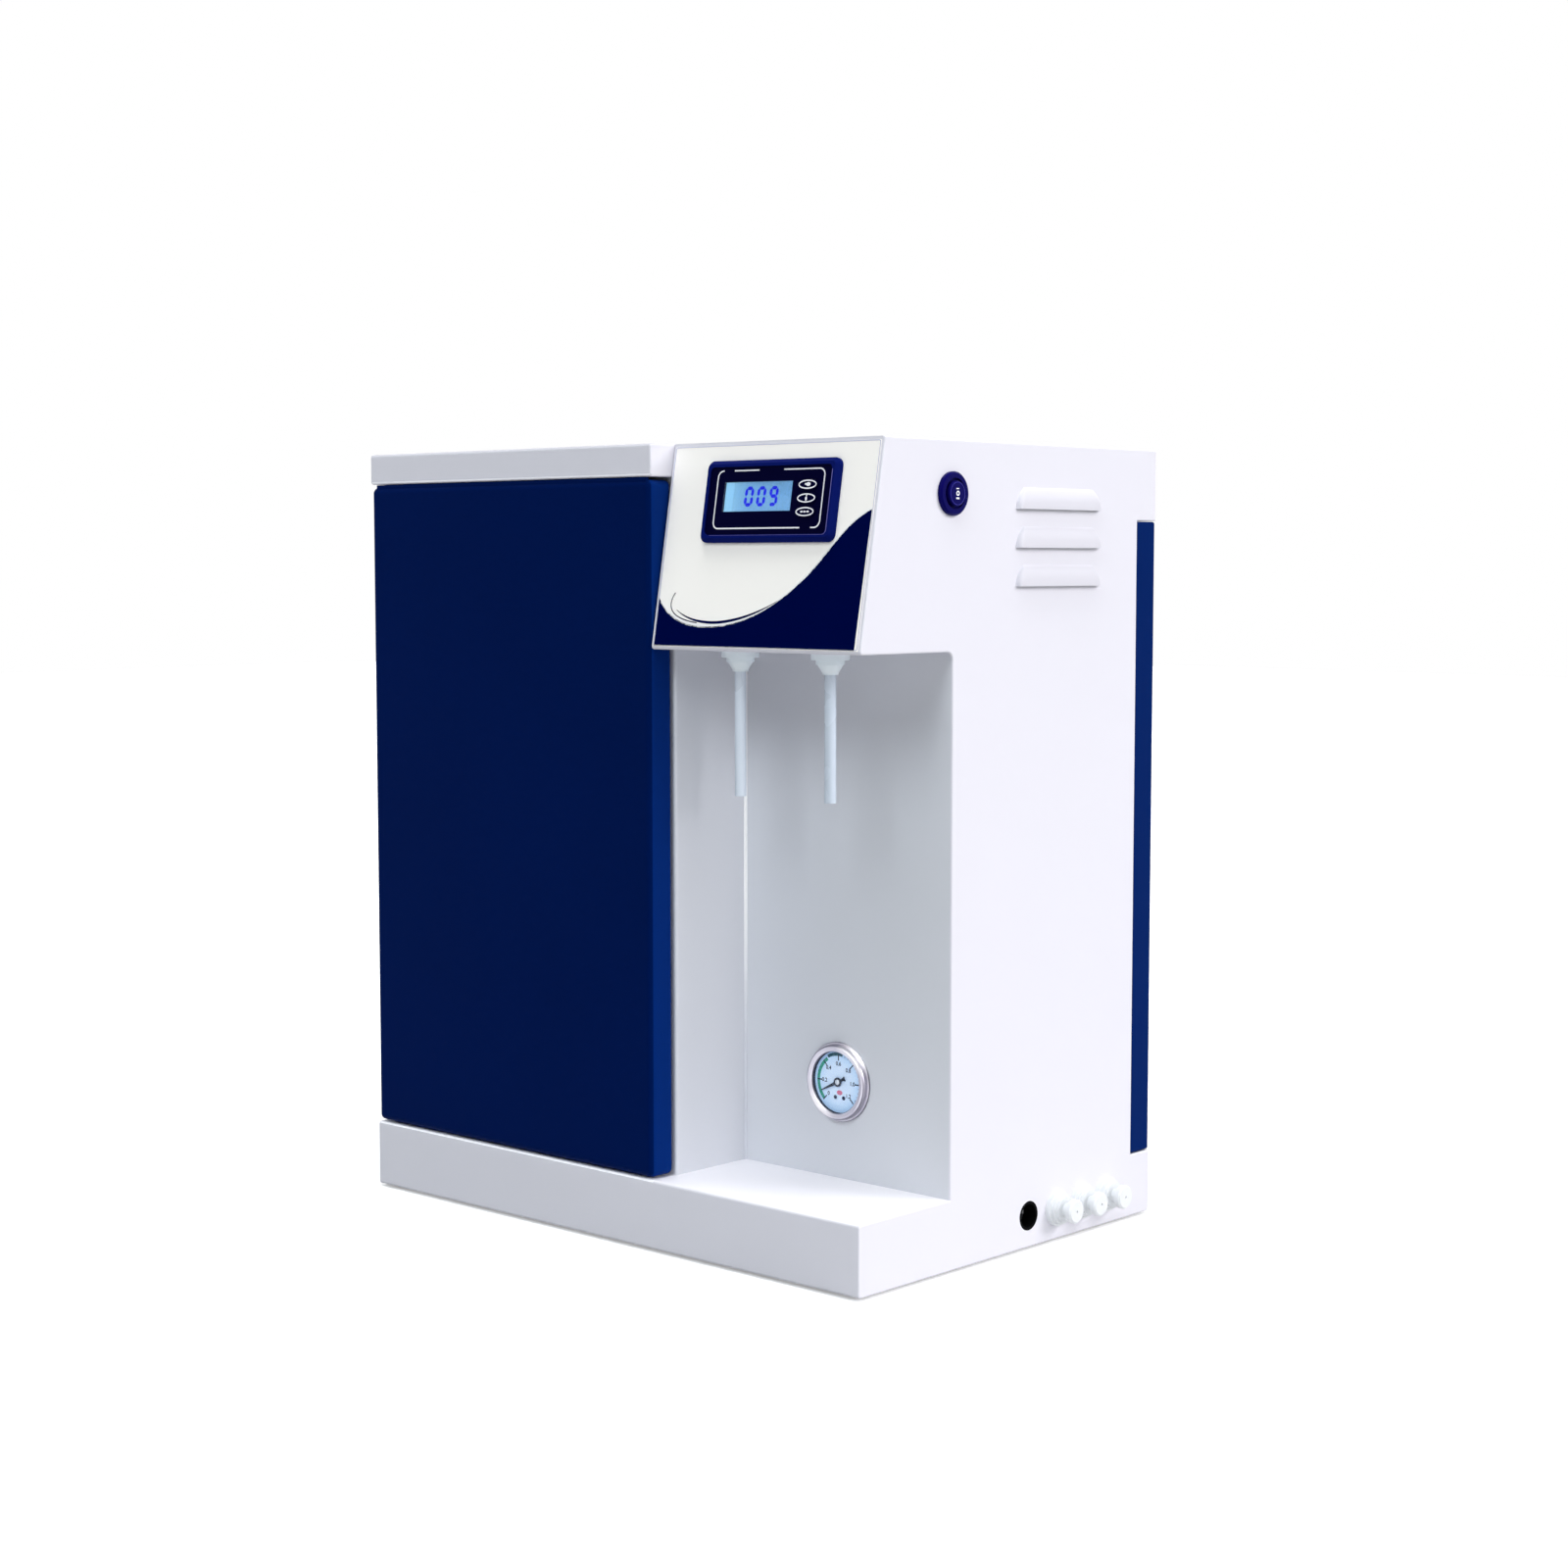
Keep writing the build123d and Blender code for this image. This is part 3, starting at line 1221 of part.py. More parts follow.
def make_transformer():
    """Laminated core between two windings' faces, on a mounting strap."""
    x0 = x_divide + transformer_from_divide
    y0 = y_niche + sheet + transformer_from_niche
    x1 = x0 + transformer_width
    y1 = y0 + transformer_depth
    y_mid = (y0 + y1) / 2
    low = z_pan + transformer_foot
    high = low + transformer_height
    core = block(x0, x1, y_mid - transformer_core / 2, y_mid + transformer_core / 2, low, high)
    inset = transformer_leg
    yoke = transformer_yoke
    windings = block(x0 + inset, x1 - inset, y0, y1, low + yoke, high - yoke)
    windings = fillet(windings.edges(), transformer_round)
    strap = block(x0 - transformer_foot_lap, x1 + transformer_foot_lap, y_mid - transformer_core / 2,
                  y_mid + transformer_core / 2, z_pan, low)
    return core + windings + strap


valve_x1 = x_right - valve_from_right
valve_x0 = valve_x1 - valve_body_length
valve_rows = (port_y[0], port_y[-1])


def make_solenoid_valves():
    """Two solenoid valves, each with a coil on top and a spout at each end."""
    valves = []
    for y in valve_rows:
        half = valve_body_width / 2
        body = block(valve_x0, valve_x1, y - half, y + half, port_z - half, port_z + half)
        coil_middle = (valve_x0 + valve_x1) / 2
        coil = valve_coil_width / 2
        body += block(coil_middle - coil, coil_middle + coil, y - coil, y + coil, port_z + half,
                      port_z + half + valve_coil_height)
        foot = valve_foot_width / 2
        body += block(coil_middle - foot, coil_middle + foot, y - foot, y + foot, z_pan, port_z)
        body += spout((valve_x0, y, port_z), left)
        body += spout((valve_x1, y, port_z), right)
        valves.append(body)
    return Compound(children=valves)


cell_x = x_divide - cell_from_divide
cell_y = y_partition + sheet + cell_from_partition
cell_z0 = z_floor + cell_height
cell_z1 = cell_z0 + cell_length
cell_mid = (cell_z0 + cell_z1) / 2


def make_conductivity_cell():
    """Block with four spouts and the probe's terminals, carried by the partition."""
    half = cell_size / 2
    cell = block(cell_x - half, cell_x + half, y_partition + sheet, cell_y + half, cell_z0, cell_z1)
    cell += spout((cell_x - half, cell_y, cell_mid), left)
    cell += spout((cell_x + half, cell_y, cell_mid), right)
    cell += spout((cell_x, cell_y, cell_z0), down)
    cell += spout((cell_x, cell_y, cell_z1), up)
    probe = (cell_x, cell_y + half, cell_mid)
    cell += rod(probe, rear, spout_radius, spout_length)
    return cell + rod(shifted(probe, rear, spout_length), rear, spout_radius / 2, spout_length / 2)


# Tubing: each tube runs from one socket to the next

nozzle_mouth_z = z_head + sheet + nozzle_barrel_length - tube_seat
port_mouth_x = x_right - barrel_length + tube_seat
side_spout_y = vessel_y + vessel_cap_radius - 1
back_lane = y_bulkhead - sheet - lane_off_bulkhead
high_lane = vessel_z1 + gauge_lane_rise
product_lane = vessel_z1 + polished_lane_rise
head_lane = vessel_z1 + plain_lane_rise
low_lane = vessel_z0 - permeate_lane_drop
upper_low_lane = vessel_z0 - polisher_lane_drop
pump_lane_y = pump_y + pump_lane_offset
tank_lane_x = x_divide + tank_lane_offset
cell_lane_x = cell_x - cell_lane_offset
polished_turn_x = nozzle_x[1] - polished_turn_offset


def valve_stub(y):
    """Straight tube between a port and its valve."""
    start = spout_mouth((valve_x1, y, port_z), right)
    return straight_tube(start, right, port_mouth_x - start[0])


def make_feed_tubes():
    """Feed, pressure, gauge and reject tubes."""
    inlet_y, drain_y = valve_rows
    feed = [spout_mouth((valve_x0, inlet_y, port_z), left), (manifold_in_x, inlet_y, port_z),
            (manifold_in_x, inlet_y, manifold_z), spout_mouth((manifold_in_x, y_partition, manifold_z), rear)]
    pump_feed = [spout_mouth((manifold_out_x, y_partition, manifold_z), rear),
                 (manifold_out_x, pump_y, manifold_z), (pump_ports[1], pump_y, manifold_z),
                 spout_mouth((pump_ports[1], pump_y, pump_top), up)]
    pressure = [spout_mouth((pump_ports[0], pump_y, pump_top), up),
                (pump_ports[0], pump_y, pump_top + pump_rise),
                (pump_ports[0], pump_lane_y, pump_top + pump_rise + pump_jog),
                (pump_ports[0], pump_lane_y, membrane_side_high),
                (membrane_x, pump_lane_y, membrane_side_high),
                spout_mouth((membrane_x, side_spout_y, membrane_side_high), rear)]
    stem_end = y_niche + gauge_case_back + gauge_stem_length - tube_seat
    gauge_line = [spout_mouth((membrane_x, vessel_y, vessel_z1), up), (membrane_x, vessel_y, high_lane),
                  (membrane_x, back_lane, high_lane), (gauge_x, back_lane, high_lane),
                  (gauge_x, back_lane, gauge_z), (gauge_x, stem_end, gauge_z)]
    reject = [spout_mouth((membrane_x, side_spout_y, membrane_side_low), rear),
              (membrane_x, drain_y, membrane_side_low), (membrane_x, drain_y, port_z),
              spout_mouth((valve_x0, drain_y, port_z), left)]
    routes = (feed, pump_feed, pressure, gauge_line, reject)
    return Compound(children=[valve_stub(y) for y in valve_rows] + [tube(points) for points in routes])


def make_product_tubes():
    """Pure water tubes, from the membrane to the cell, the polisher, the tank port and the nozzles."""
    half = cell_size / 2
    permeate = [spout_mouth((membrane_x, vessel_y, vessel_z0), down), (membrane_x, vessel_y, low_lane),
                (cell_x, cell_y, low_lane), spout_mouth((cell_x, cell_y, cell_z0), down)]
    polisher_feed = [spout_mouth((cell_x - half, cell_y, cell_mid), left), (cell_lane_x, cell_y, cell_mid),
                     (cell_lane_x, cell_y, upper_low_lane), (polisher_x, vessel_y, upper_low_lane),
                     spout_mouth((polisher_x, vessel_y, vessel_z0), down)]
    tank = [spout_mouth((cell_x + half, cell_y, cell_mid), right), (tank_lane_x, cell_y, cell_mid),
            (tank_lane_x, port_y[1], cell_mid), (tank_lane_x, port_y[1], port_z),
            (port_mouth_x, port_y[1], port_z)]
    plain_water = [spout_mouth((cell_x, cell_y, cell_z1), up), (cell_x, cell_y, head_lane),
                   (nozzle_x[0], cell_y, head_lane), (nozzle_x[0], nozzle_y, head_lane),
                   (nozzle_x[0], nozzle_y, nozzle_mouth_z)]
    polished = [spout_mouth((polisher_x, vessel_y, vessel_z1), up), (polisher_x, vessel_y, product_lane),
                (polished_turn_x, vessel_y, product_lane), (nozzle_x[1], y_partition, head_lane),
                (nozzle_x[1], nozzle_y, head_lane), (nozzle_x[1], nozzle_y, nozzle_mouth_z)]
    routes = (permeate, polisher_feed, tank, plain_water, polished)
    return Compound(children=[tube(points) for points in routes])


# One file for each node

save("base_pan", make_base_pan())
save("left_side_panel", make_left_side_panel())
save("right_side_panel", make_right_side_panel())
save("top_cover", make_top_cover())
save("head_housing", make_head_housing())
save("niche_liner", make_niche_liner())
save("rear_bulkhead", make_rear_bulkhead())
save("partition_panel", make_partition_panel())
save("rear_cover", make_rear_cover())
save("rear_cover_screws", make_rear_cover_screws())
save("rubber_feet", make_rubber_feet())
save("front_door", make_front_door())
save("door_backing_plate", make_door_backing_plate())
save("door_hinge_pins", make_door_hinge_pins())
save("door_catch_magnets", make_door_catch_magnets())
save("face_overlay", make_face_overlay())
save("controller_bezel", make_controller_bezel())
save("controller_fascia", make_controller_fascia())
save("controller_window", make_controller_window())
save("lcd_module", make_lcd_module())
for i, name in enumerate(key_names):
    save(name, make_key(i))
save("control_board", make_control_board())
save("controller_case", make_controller_case())
save("power_switch_body", make_power_switch_body())
save("power_switch_button", make_power_switch_button())
save("power_switch_nut", make_power_switch_nut())
save("cable_bushing", make_cable_bushing())
save("port_fittings", make_port_fittings())
for name, y in zip(plug_names, port_y):
    save(name, make_port_plug(y))
save("bulkhead_nuts", make_bulkhead_nuts())
for name, x in zip(nozzle_names, nozzle_x):
    save("nozzle_collar_" + name, make_nozzle_collar(x))
    save("nozzle_tube_" + name, make_nozzle_tube(x))
save("gauge_case", make_gauge_case())
save("gauge_bezel", make_gauge_bezel())
save("gauge_lens", make_gauge_lens())
save("gauge_dial", make_gauge_dial())
save("gauge_pointer", make_gauge_pointer())
save("gauge_movement", make_gauge_movement())
save("gauge_clamp", make_gauge_clamp())
save("filter_manifold", make_filter_manifold())
for name, x in zip(filter_names, filter_x):
    save(name, make_filter(x))
save("membrane_vessel", make_vessel(membrane_x, (membrane_side_low, membrane_side_high)))
save("polishing_vessel", make_vessel(polisher_x, ()))
save("vessel_clips", make_vessel_clips())
save("pump_head", make_pump_head())
save("pump_motor", make_pump_motor())
save("transformer", make_transformer())
save("solenoid_valves", make_solenoid_valves())
save("conductivity_cell", make_conductivity_cell())
save("feed_tubes", make_feed_tubes())
save("product_tubes", make_product_tubes())
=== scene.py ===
# %% [markdown]
# # A bench water purifier, finished for the camera
#
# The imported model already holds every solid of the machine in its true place, so nothing is moved here.
# This lesson gives each solid its finish and adds what solids leave out: the printed film, the screen
# figures, the key marks and the dial. Everything is in metres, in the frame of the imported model.

import json
import math

import bmesh
import bpy
import numpy as np
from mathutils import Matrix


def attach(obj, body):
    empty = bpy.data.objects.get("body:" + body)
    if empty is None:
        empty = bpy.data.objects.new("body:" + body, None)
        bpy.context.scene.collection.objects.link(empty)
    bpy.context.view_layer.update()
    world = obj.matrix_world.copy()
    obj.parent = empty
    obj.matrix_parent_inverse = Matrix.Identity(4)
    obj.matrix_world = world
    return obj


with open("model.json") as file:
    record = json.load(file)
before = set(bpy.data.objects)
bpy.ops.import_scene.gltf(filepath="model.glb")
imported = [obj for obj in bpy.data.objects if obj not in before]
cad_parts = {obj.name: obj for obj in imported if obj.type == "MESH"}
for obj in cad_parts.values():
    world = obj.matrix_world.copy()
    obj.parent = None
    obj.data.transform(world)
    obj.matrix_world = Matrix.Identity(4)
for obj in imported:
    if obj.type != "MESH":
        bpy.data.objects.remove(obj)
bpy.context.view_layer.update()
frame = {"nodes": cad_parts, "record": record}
mm = 0.001

# %% [markdown]
# ## The camera
#
# The housing was photographed from its front right corner at about the height of its upper half. The view
# was found by fitting a pinhole camera to twenty corners of the housing, so the render and the photograph
# can be laid over each other. A long lens keeps the upright edges nearly parallel.

# %% Camera
camera_place = (1.2128, -1.2994, 0.4273)
camera_turn = (85.292, 0.0, 42.406)
camera_lens = 61.5


def make_camera():
    """Pinhole camera at a fixed place, tilted down about five degrees and turned to face the corner."""
    data = bpy.data.cameras.new("studio_camera")
    data.lens = camera_lens
    data.sensor_width = 36.0
    data.clip_start = 0.01
    camera = bpy.data.objects.new("studio_camera", data)
    camera.location = camera_place
    camera.rotation_euler = [math.radians(a) for a in camera_turn]
    bpy.context.scene.collection.objects.link(camera)
    bpy.context.scene.camera = camera
    return camera


make_camera()
bpy.context.scene.view_settings.view_transform = "Standard"
print("lens", camera_lens, "mm")

# %% [markdown]
# ## Lamps
#
# The photograph is a studio cut-out: a bright right flank, a front in soft shade and a plain white
# surround. Four broad suns give that: two from the right, a weaker one from the front and one from above,
# which also lifts the sloping face. Their levels were found by rendering the white housing under each
# lamp alone and solving for the mix that gives the photograph's greys. Area lamps would do too, but the
# light of a sun stays the same all over a housing half a metre high.

# %% Four suns: name, direction towards it, share, spread in degrees and colour
lamps = (
    ("flank_light", (0.75, 0.45, 0.48), 0.60, 28.0, (1.0, 0.985, 1.0)),
    ("right_light", (0.95, -0.05, 0.30), 0.30, 28.0, (1.0, 0.985, 1.0)),
    ("front_light", (0.15, -0.75, 0.65), 0.39, 28.0, (0.88, 0.95, 0.985)),
    ("top_light", (0.05, -0.10, 0.99), 0.58, 28.0, (1.0, 1.0, 1.0)),
)


def make_lamp(name, towards, share, spread, colour):
    """Sun that shines from a direction. Its share is what a square-on white surface sends back."""
    data = bpy.data.lights.new(name, "SUN")
    data.energy = share * math.pi
    data.angle = math.radians(spread)
    data.color = colour
    lamp = bpy.data.objects.new(name, data)
    way = np.array(towards, float)
    flat = math.hypot(way[0], way[1])
    lamp.rotation_euler = (math.atan2(flat, way[2]), 0.0, math.atan2(way[0], -way[1]))
    bpy.context.scene.collection.objects.link(lamp)


for lamp_values in lamps:
    make_lamp(*lamp_values)
print("lamps:", len(lamps))

# %% [markdown]
# ## White surround
#
# The world only fills the shade with a little bluish light, yet the surround has to look white. Turning the
# world up would flood the object, so the world is white for rays from the camera, mirrors and glass alone,
# and dim for the light that bounces off dull surfaces.

# %% World
world_level = 0.15
world_tint = (0.86, 0.94, 1.0, 1.0)


def seen_directly(tree):
    """Socket that is 1 for camera, mirror and glass rays and 0 for light that bounces off a dull surface."""
    path = tree.nodes.new("ShaderNodeLightPath")
    both = tree.nodes.new("ShaderNodeMath")
    both.operation = "MAXIMUM"
    tree.links.new(path.outputs["Is Camera Ray"], both.inputs[0])
    tree.links.new(path.outputs["Is Glossy Ray"], both.inputs[1])
    every = tree.nodes.new("ShaderNodeMath")
    every.operation = "MAXIMUM"
    tree.links.new(both.outputs[0], every.inputs[0])
    tree.links.new(path.outputs["Is Transmission Ray"], every.inputs[1])
    return every.outputs[0]


def make_world():
    """World that is white at strength 1 where it is seen, and low and bluish where it fills the shade."""
    world = bpy.data.worlds.new("studio_world")
    world.use_nodes = True
    tree = world.node_tree
    background = tree.nodes["Background"]
    seen = seen_directly(tree)
    shade = tree.nodes.new("ShaderNodeMix")
    shade.data_type = "RGBA"
    shade.inputs["A"].default_value = world_tint
    shade.inputs["B"].default_value = (1.0, 1.0, 1.0, 1.0)
    tree.links.new(seen, shade.inputs["Factor"])
    tree.links.new(shade.outputs["Result"], background.inputs["Color"])
    level = tree.nodes.new("ShaderNodeMapRange")
    level.inputs["To Min"].default_value = world_level
    level.inputs["To Max"].default_value = 1.0
    tree.links.new(seen, level.inputs["Value"])
    tree.links.new(level.outputs["Result"], background.inputs["Strength"])
    bpy.context.scene.world = world


make_world()
print("world level in the shade:", world_level)

# %% [markdown]
# ## Floor
#
# The machine stands on a bench. A large square takes its soft shadow, and the same switch as in the world
# makes it white where it is seen and grey for bounced light, so that it doesn't light the flanks from below.

# %% Floor
floor_grey = 0.45
floor_glow = 0.30
floor_reach = 8.0


def make_floor():
    """One large square at bench height: white and faintly bright where it is seen, grey for bounced light."""
    reach = floor_reach
    mesh = bpy.data.meshes.new("studio_floor")
    mesh.from_pydata([(-reach, -reach, 0), (reach, -reach, 0), (reach, reach, 0), (-reach, reach, 0)], [],
                     [(0, 1, 2, 3)])
    floor = bpy.data.objects.new("studio_floor", mesh)
    bpy.context.scene.collection.objects.link(floor)
    material = bpy.data.materials.new("studio_floor")
    material.use_nodes = True
    tree = material.node_tree
    shader = tree.nodes["Principled BSDF"]
    shader.inputs["Roughness"].default_value = 0.9
    shader.inputs["Specular IOR Level"].default_value = 0.0
    shade = tree.nodes.new("ShaderNodeMix")
    shade.data_type = "RGBA"
    shade.inputs["A"].default_value = (floor_grey, floor_grey, floor_grey, 1.0)
    shade.inputs["B"].default_value = (0.99, 0.99, 0.99, 1.0)
    seen = seen_directly(tree)
    tree.links.new(seen, shade.inputs["Factor"])
    tree.links.new(shade.outputs["Result"], shader.inputs["Base Color"])
    glow = tree.nodes.new("ShaderNodeMath")
    glow.operation = "MULTIPLY"
    glow.inputs[1].default_value = floor_glow
    tree.links.new(seen, glow.inputs[0])
    shader.inputs["Emission Color"].default_value = (1.0, 1.0, 1.0, 1.0)
    tree.links.new(glow.outputs[0], shader.inputs["Emission Strength"])
    mesh.materials.append(material)


make_floor()
print("floor:", 2 * floor_reach, "m wide")

# %% [markdown]
# ## Colours and nodes
#
# A colour is easiest to name as it is read off a screen, but a shader reckons in linear light, so one small
# function turns the first into the second. The other helpers add a shader node, place Object coordinates
# and make a noise of a size in millimetres. With Object coordinates the grain has its true size and stays
# on the piece when it moves.

# %% Helpers for colours and nodes


def ink(red, green, blue):
    """Colour as it is read off a screen, 0 to 255, turned into the linear share that a shader needs."""
    value = np.array([red, green, blue], float) / 255.0
    linear = np.where(value <= 0.04045, value / 12.92, ((value + 0.055) / 1.055) ** 2.4)
    return tuple(linear) + (1.0,)


def add_node(tree, kind, **values):
    """New shader node with its properties set by name."""
    node = tree.nodes.new(kind)
    for name, value in values.items():
        setattr(node, name, value)
    return node


def place_socket(tree, centre=(0.0, 0.0, 0.0), stretch=(1.0, 1.0, 1.0)):
    """Object coordinates moved to a centre in millimetres, then scaled along each axis."""
    where = add_node(tree, "ShaderNodeTexCoord")
    mapping = add_node(tree, "ShaderNodeMapping")
    mapping.inputs["Scale"].default_value = stretch
    mapping.inputs["Location"].default_value = [-c * mm * s for c, s in zip(centre, stretch)]
    tree.links.new(where.outputs["Object"], mapping.inputs["Vector"])
    return mapping.outputs["Vector"]


def noise_socket(tree, place, size, detail=3.0):
    """Noise with blotches about size millimetres across."""
    noise = add_node(tree, "ShaderNodeTexNoise")
    noise.inputs["Scale"].default_value = 1.0 / (size * mm)
    noise.inputs["Detail"].default_value = detail
    tree.links.new(place, noise.inputs["Vector"])
    return noise.outputs["Fac"]


def spread(tree, socket, low, high):
    """The 0.25 to 0.75 band, where most noise lies, stretched to the range from low to high."""
    band = add_node(tree, "ShaderNodeMapRange")
    band.inputs["From Min"].default_value = 0.25
    band.inputs["From Max"].default_value = 0.75
    band.inputs["To Min"].default_value = low
    band.inputs["To Max"].default_value = high
    tree.links.new(socket, band.inputs["Value"])
    return band.outputs["Result"]


def blend(tree, factor, first, second):
    """Mix of two colours or sockets by a factor socket."""
    mix = add_node(tree, "ShaderNodeMix", data_type="RGBA")
    tree.links.new(factor, mix.inputs["Factor"])
    for socket, value in ((mix.inputs["A"], first), (mix.inputs["B"], second)):
        if isinstance(value, tuple):
            socket.default_value = value
        else:
            tree.links.new(value, socket)
    return mix.outputs["Result"]


def shaded(colour, factor):
    """A colour made darker or lighter by a factor, never past white."""
    return tuple(min(1.0, c * factor) for c in colour[:3]) + (1.0,)


print("mid grey in linear light:", round(float(ink(128, 128, 128)[0]), 3))

# %% [markdown]
# ## How a finish is built
#
# No real surface is one flat colour. Powder coat has a fine orange peel, moulded plastic a faint grain,
# and both drift a little in tone over the width of a hand. One helper builds that for every plain finish:
# a broad noise that moves the colour, a finer one that moves the roughness and a fine one for the bump.

# %% One finish for most pieces
cloud_size = 90.0       # blotches of the tone, in mm
rub_size = 14.0         # blotches of the roughness, in grains
rub_share = 0.12        # how far the roughness drifts either way


def finish(name, colour, roughness, grain=1.0, depth=0.01, drift=0.03, metallic=0.0, specular=0.5,
           gloss_tint=(1.0, 1.0, 1.0, 1.0), stretch=(1.0, 1.0, 1.0), drift_size=cloud_size, **fixed):
    """Plain procedural finish: drift of colour and roughness, and a bump grain of a size and depth in mm."""
    material = bpy.data.materials.new(name)
    material.use_nodes = True
    tree = material.node_tree
    shader = tree.nodes["Principled BSDF"]
    shader.inputs["Metallic"].default_value = metallic
    shader.inputs["Specular IOR Level"].default_value = specular
    shader.inputs["Specular Tint"].default_value = gloss_tint
    for socket, value in fixed.items():
        shader.inputs[socket.replace("_", " ")].default_value = value
    place = place_socket(tree, stretch=stretch)
    tone = spread(tree, noise_socket(tree, place, drift_size), 0.0, 1.0)
    tree.links.new(blend(tree, tone, shaded(colour, 1.0 - drift), shaded(colour, 1.0 + drift)),
                   shader.inputs["Base Color"])
    rub = noise_socket(tree, place, grain * rub_size)
    tree.links.new(spread(tree, rub, roughness * (1.0 - rub_share), min(1.0, roughness * (1.0 + rub_share))),
                   shader.inputs["Roughness"])
    bump = add_node(tree, "ShaderNodeBump")
    bump.inputs["Distance"].default_value = depth * mm
    tree.links.new(noise_socket(tree, place, grain, 2.0), bump.inputs["Height"])
    tree.links.new(bump.outputs["Normal"], shader.inputs["Normal"])
    return material


print("finish helper ready")

# %% [markdown]
# ## A second tone on one piece
#
# Some pieces change their tone at a fold or an edge; here every such change is painted light or painted
# shade.
# A second material on some faces would do that, but the faces of these solids are loose triangles. A tone
# that changes with the place of the point needs no choice of faces: it reads one Object coordinate and moves
# from one colour to the other between two values.

# %% Helpers for two tones and for powder coat


def retone(material, axis, first, last, tone):
    """Moves a finish to another tone along one axis: none of it before first, all of it after last, in mm."""
    tree = material.node_tree
    shader = tree.nodes["Principled BSDF"]
    axes = add_node(tree, "ShaderNodeSeparateXYZ")
    tree.links.new(place_socket(tree), axes.inputs["Vector"])
    along = add_node(tree, "ShaderNodeMapRange", interpolation_type="SMOOTHSTEP")
    along.inputs["From Min"].default_value = first * mm
    along.inputs["From Max"].default_value = last * mm
    tree.links.new(axes.outputs[axis], along.inputs["Value"])
    plain = shader.inputs["Base Color"].links[0].from_socket
    cloud = spread(tree, noise_socket(tree, place_socket(tree), cloud_size), 0.0, 1.0)
    other = blend(tree, cloud, shaded(tone, 0.99), shaded(tone, 1.01))
    tree.links.new(blend(tree, along.outputs["Result"], plain, other), shader.inputs["Base Color"])
    return material


def powder_coat(name, colour=ink(223, 222, 230)):
    """The housing's white powder coat, as a finish that can be given a second tone."""
    return finish(name, colour, 0.46, grain=1.1, depth=0.012, drift=0.006, specular=0.35)


print("two tones and powder coat ready")

# %% [markdown]
# ## Sheet metal and mouldings
#
# The housing is folded steel with a white powder coat, very slightly lavender. The door and the rear cover
# are deep blue mouldings, so dark that a normal mirror share would grey them; their specular level is low.
# Some tones here are painted light. The door's front is coloured darker than its flank, painted shade on the
# front, which shows as a sharp upright line near its right edge, so its tone changes with the depth of the
# point. The deck is painted whiter than the front of the base, a painted highlight, while the top and the
# louvre hoods, which catch the light from above, are painted a little deeper, painted shade, and the niche is
# painted a little darker and bluer, painted shade in the recess. Sheet that nobody sees is left zinc plated,
# which shows as a patchwork of crystals, and a Voronoi pattern gives that better than noise.

# %% Finishes of the housing
blue_gloss = (0.10, 0.30, 1.0, 1.0)
door_shade_edge = -144.1
deck_top = 45.5
top_face = 500.0
side_right = 218.0
crystal_size = 7.0
blue_moulding = {"grain": 0.7, "depth": 0.008, "drift": 0.05, "specular": 0.01, "gloss_tint": blue_gloss,
                 "drift_size": 130.0}


def make_zinc():
    """Zinc plate: each Voronoi cell has its own grey and its own gloss, as crystals do."""
    material = bpy.data.materials.new("zinc_plate")
    material.use_nodes = True
    tree = material.node_tree
    shader = tree.nodes["Principled BSDF"]
    shader.inputs["Metallic"].default_value = 0.85
    cells = add_node(tree, "ShaderNodeTexVoronoi")
    cells.inputs["Scale"].default_value = 1.0 / (crystal_size * mm)
    tree.links.new(place_socket(tree), cells.inputs["Vector"])
    part = add_node(tree, "ShaderNodeSeparateColor")
    tree.links.new(cells.outputs["Color"], part.inputs["Color"])
    tree.links.new(blend(tree, part.outputs["Red"], ink(174, 178, 182), ink(190, 193, 197)),
                   shader.inputs["Base Color"])
    tree.links.new(spread(tree, part.outputs["Green"], 0.40, 0.47), shader.inputs["Roughness"])
    return material


finishes = {"blue_moulding": finish("deep_blue_moulding", ink(4, 32, 91), 0.42, **blue_moulding)}
# The door's front is coloured darker than its flank: painted shade on the front.
door_painted_shade_finish = finish("door_painted_front_shade", ink(1, 23, 77), 0.42, **blue_moulding)
finishes["white_coated_steel"] = powder_coat("white_powder_coat")
own_finishes = {
    "front_door": retone(door_painted_shade_finish, "Y", door_shade_edge, door_shade_edge + 0.3, ink(7, 42, 112)),
    # The deck is painted whiter than the base front: painted light from above.
    "base_pan": retone(powder_coat("base_coat_painted_deck_light"), "Z", deck_top - 1.2, deck_top - 0.2,
                       ink(247, 245, 249)),
    # The top face is painted a little deeper: painted shade against the light from above.
    "top_cover": retone(powder_coat("top_cover_painted_shade_coat"), "Z", top_face - 1.0, top_face - 0.2,
                        ink(206, 205, 213)),
    # The niche's coat is painted a little darker and bluer: painted shade in the recess.
    "niche_liner": powder_coat("niche_painted_shade_coat", ink(218, 220, 226)),
    # The louvre hoods are painted a little deeper: painted shade against the light from above.
    "right_side_panel": retone(powder_coat("louvred_side_painted_shade_coat"), "X", side_right + 0.2, side_right + 1.6,
                               ink(208, 207, 215)),
}
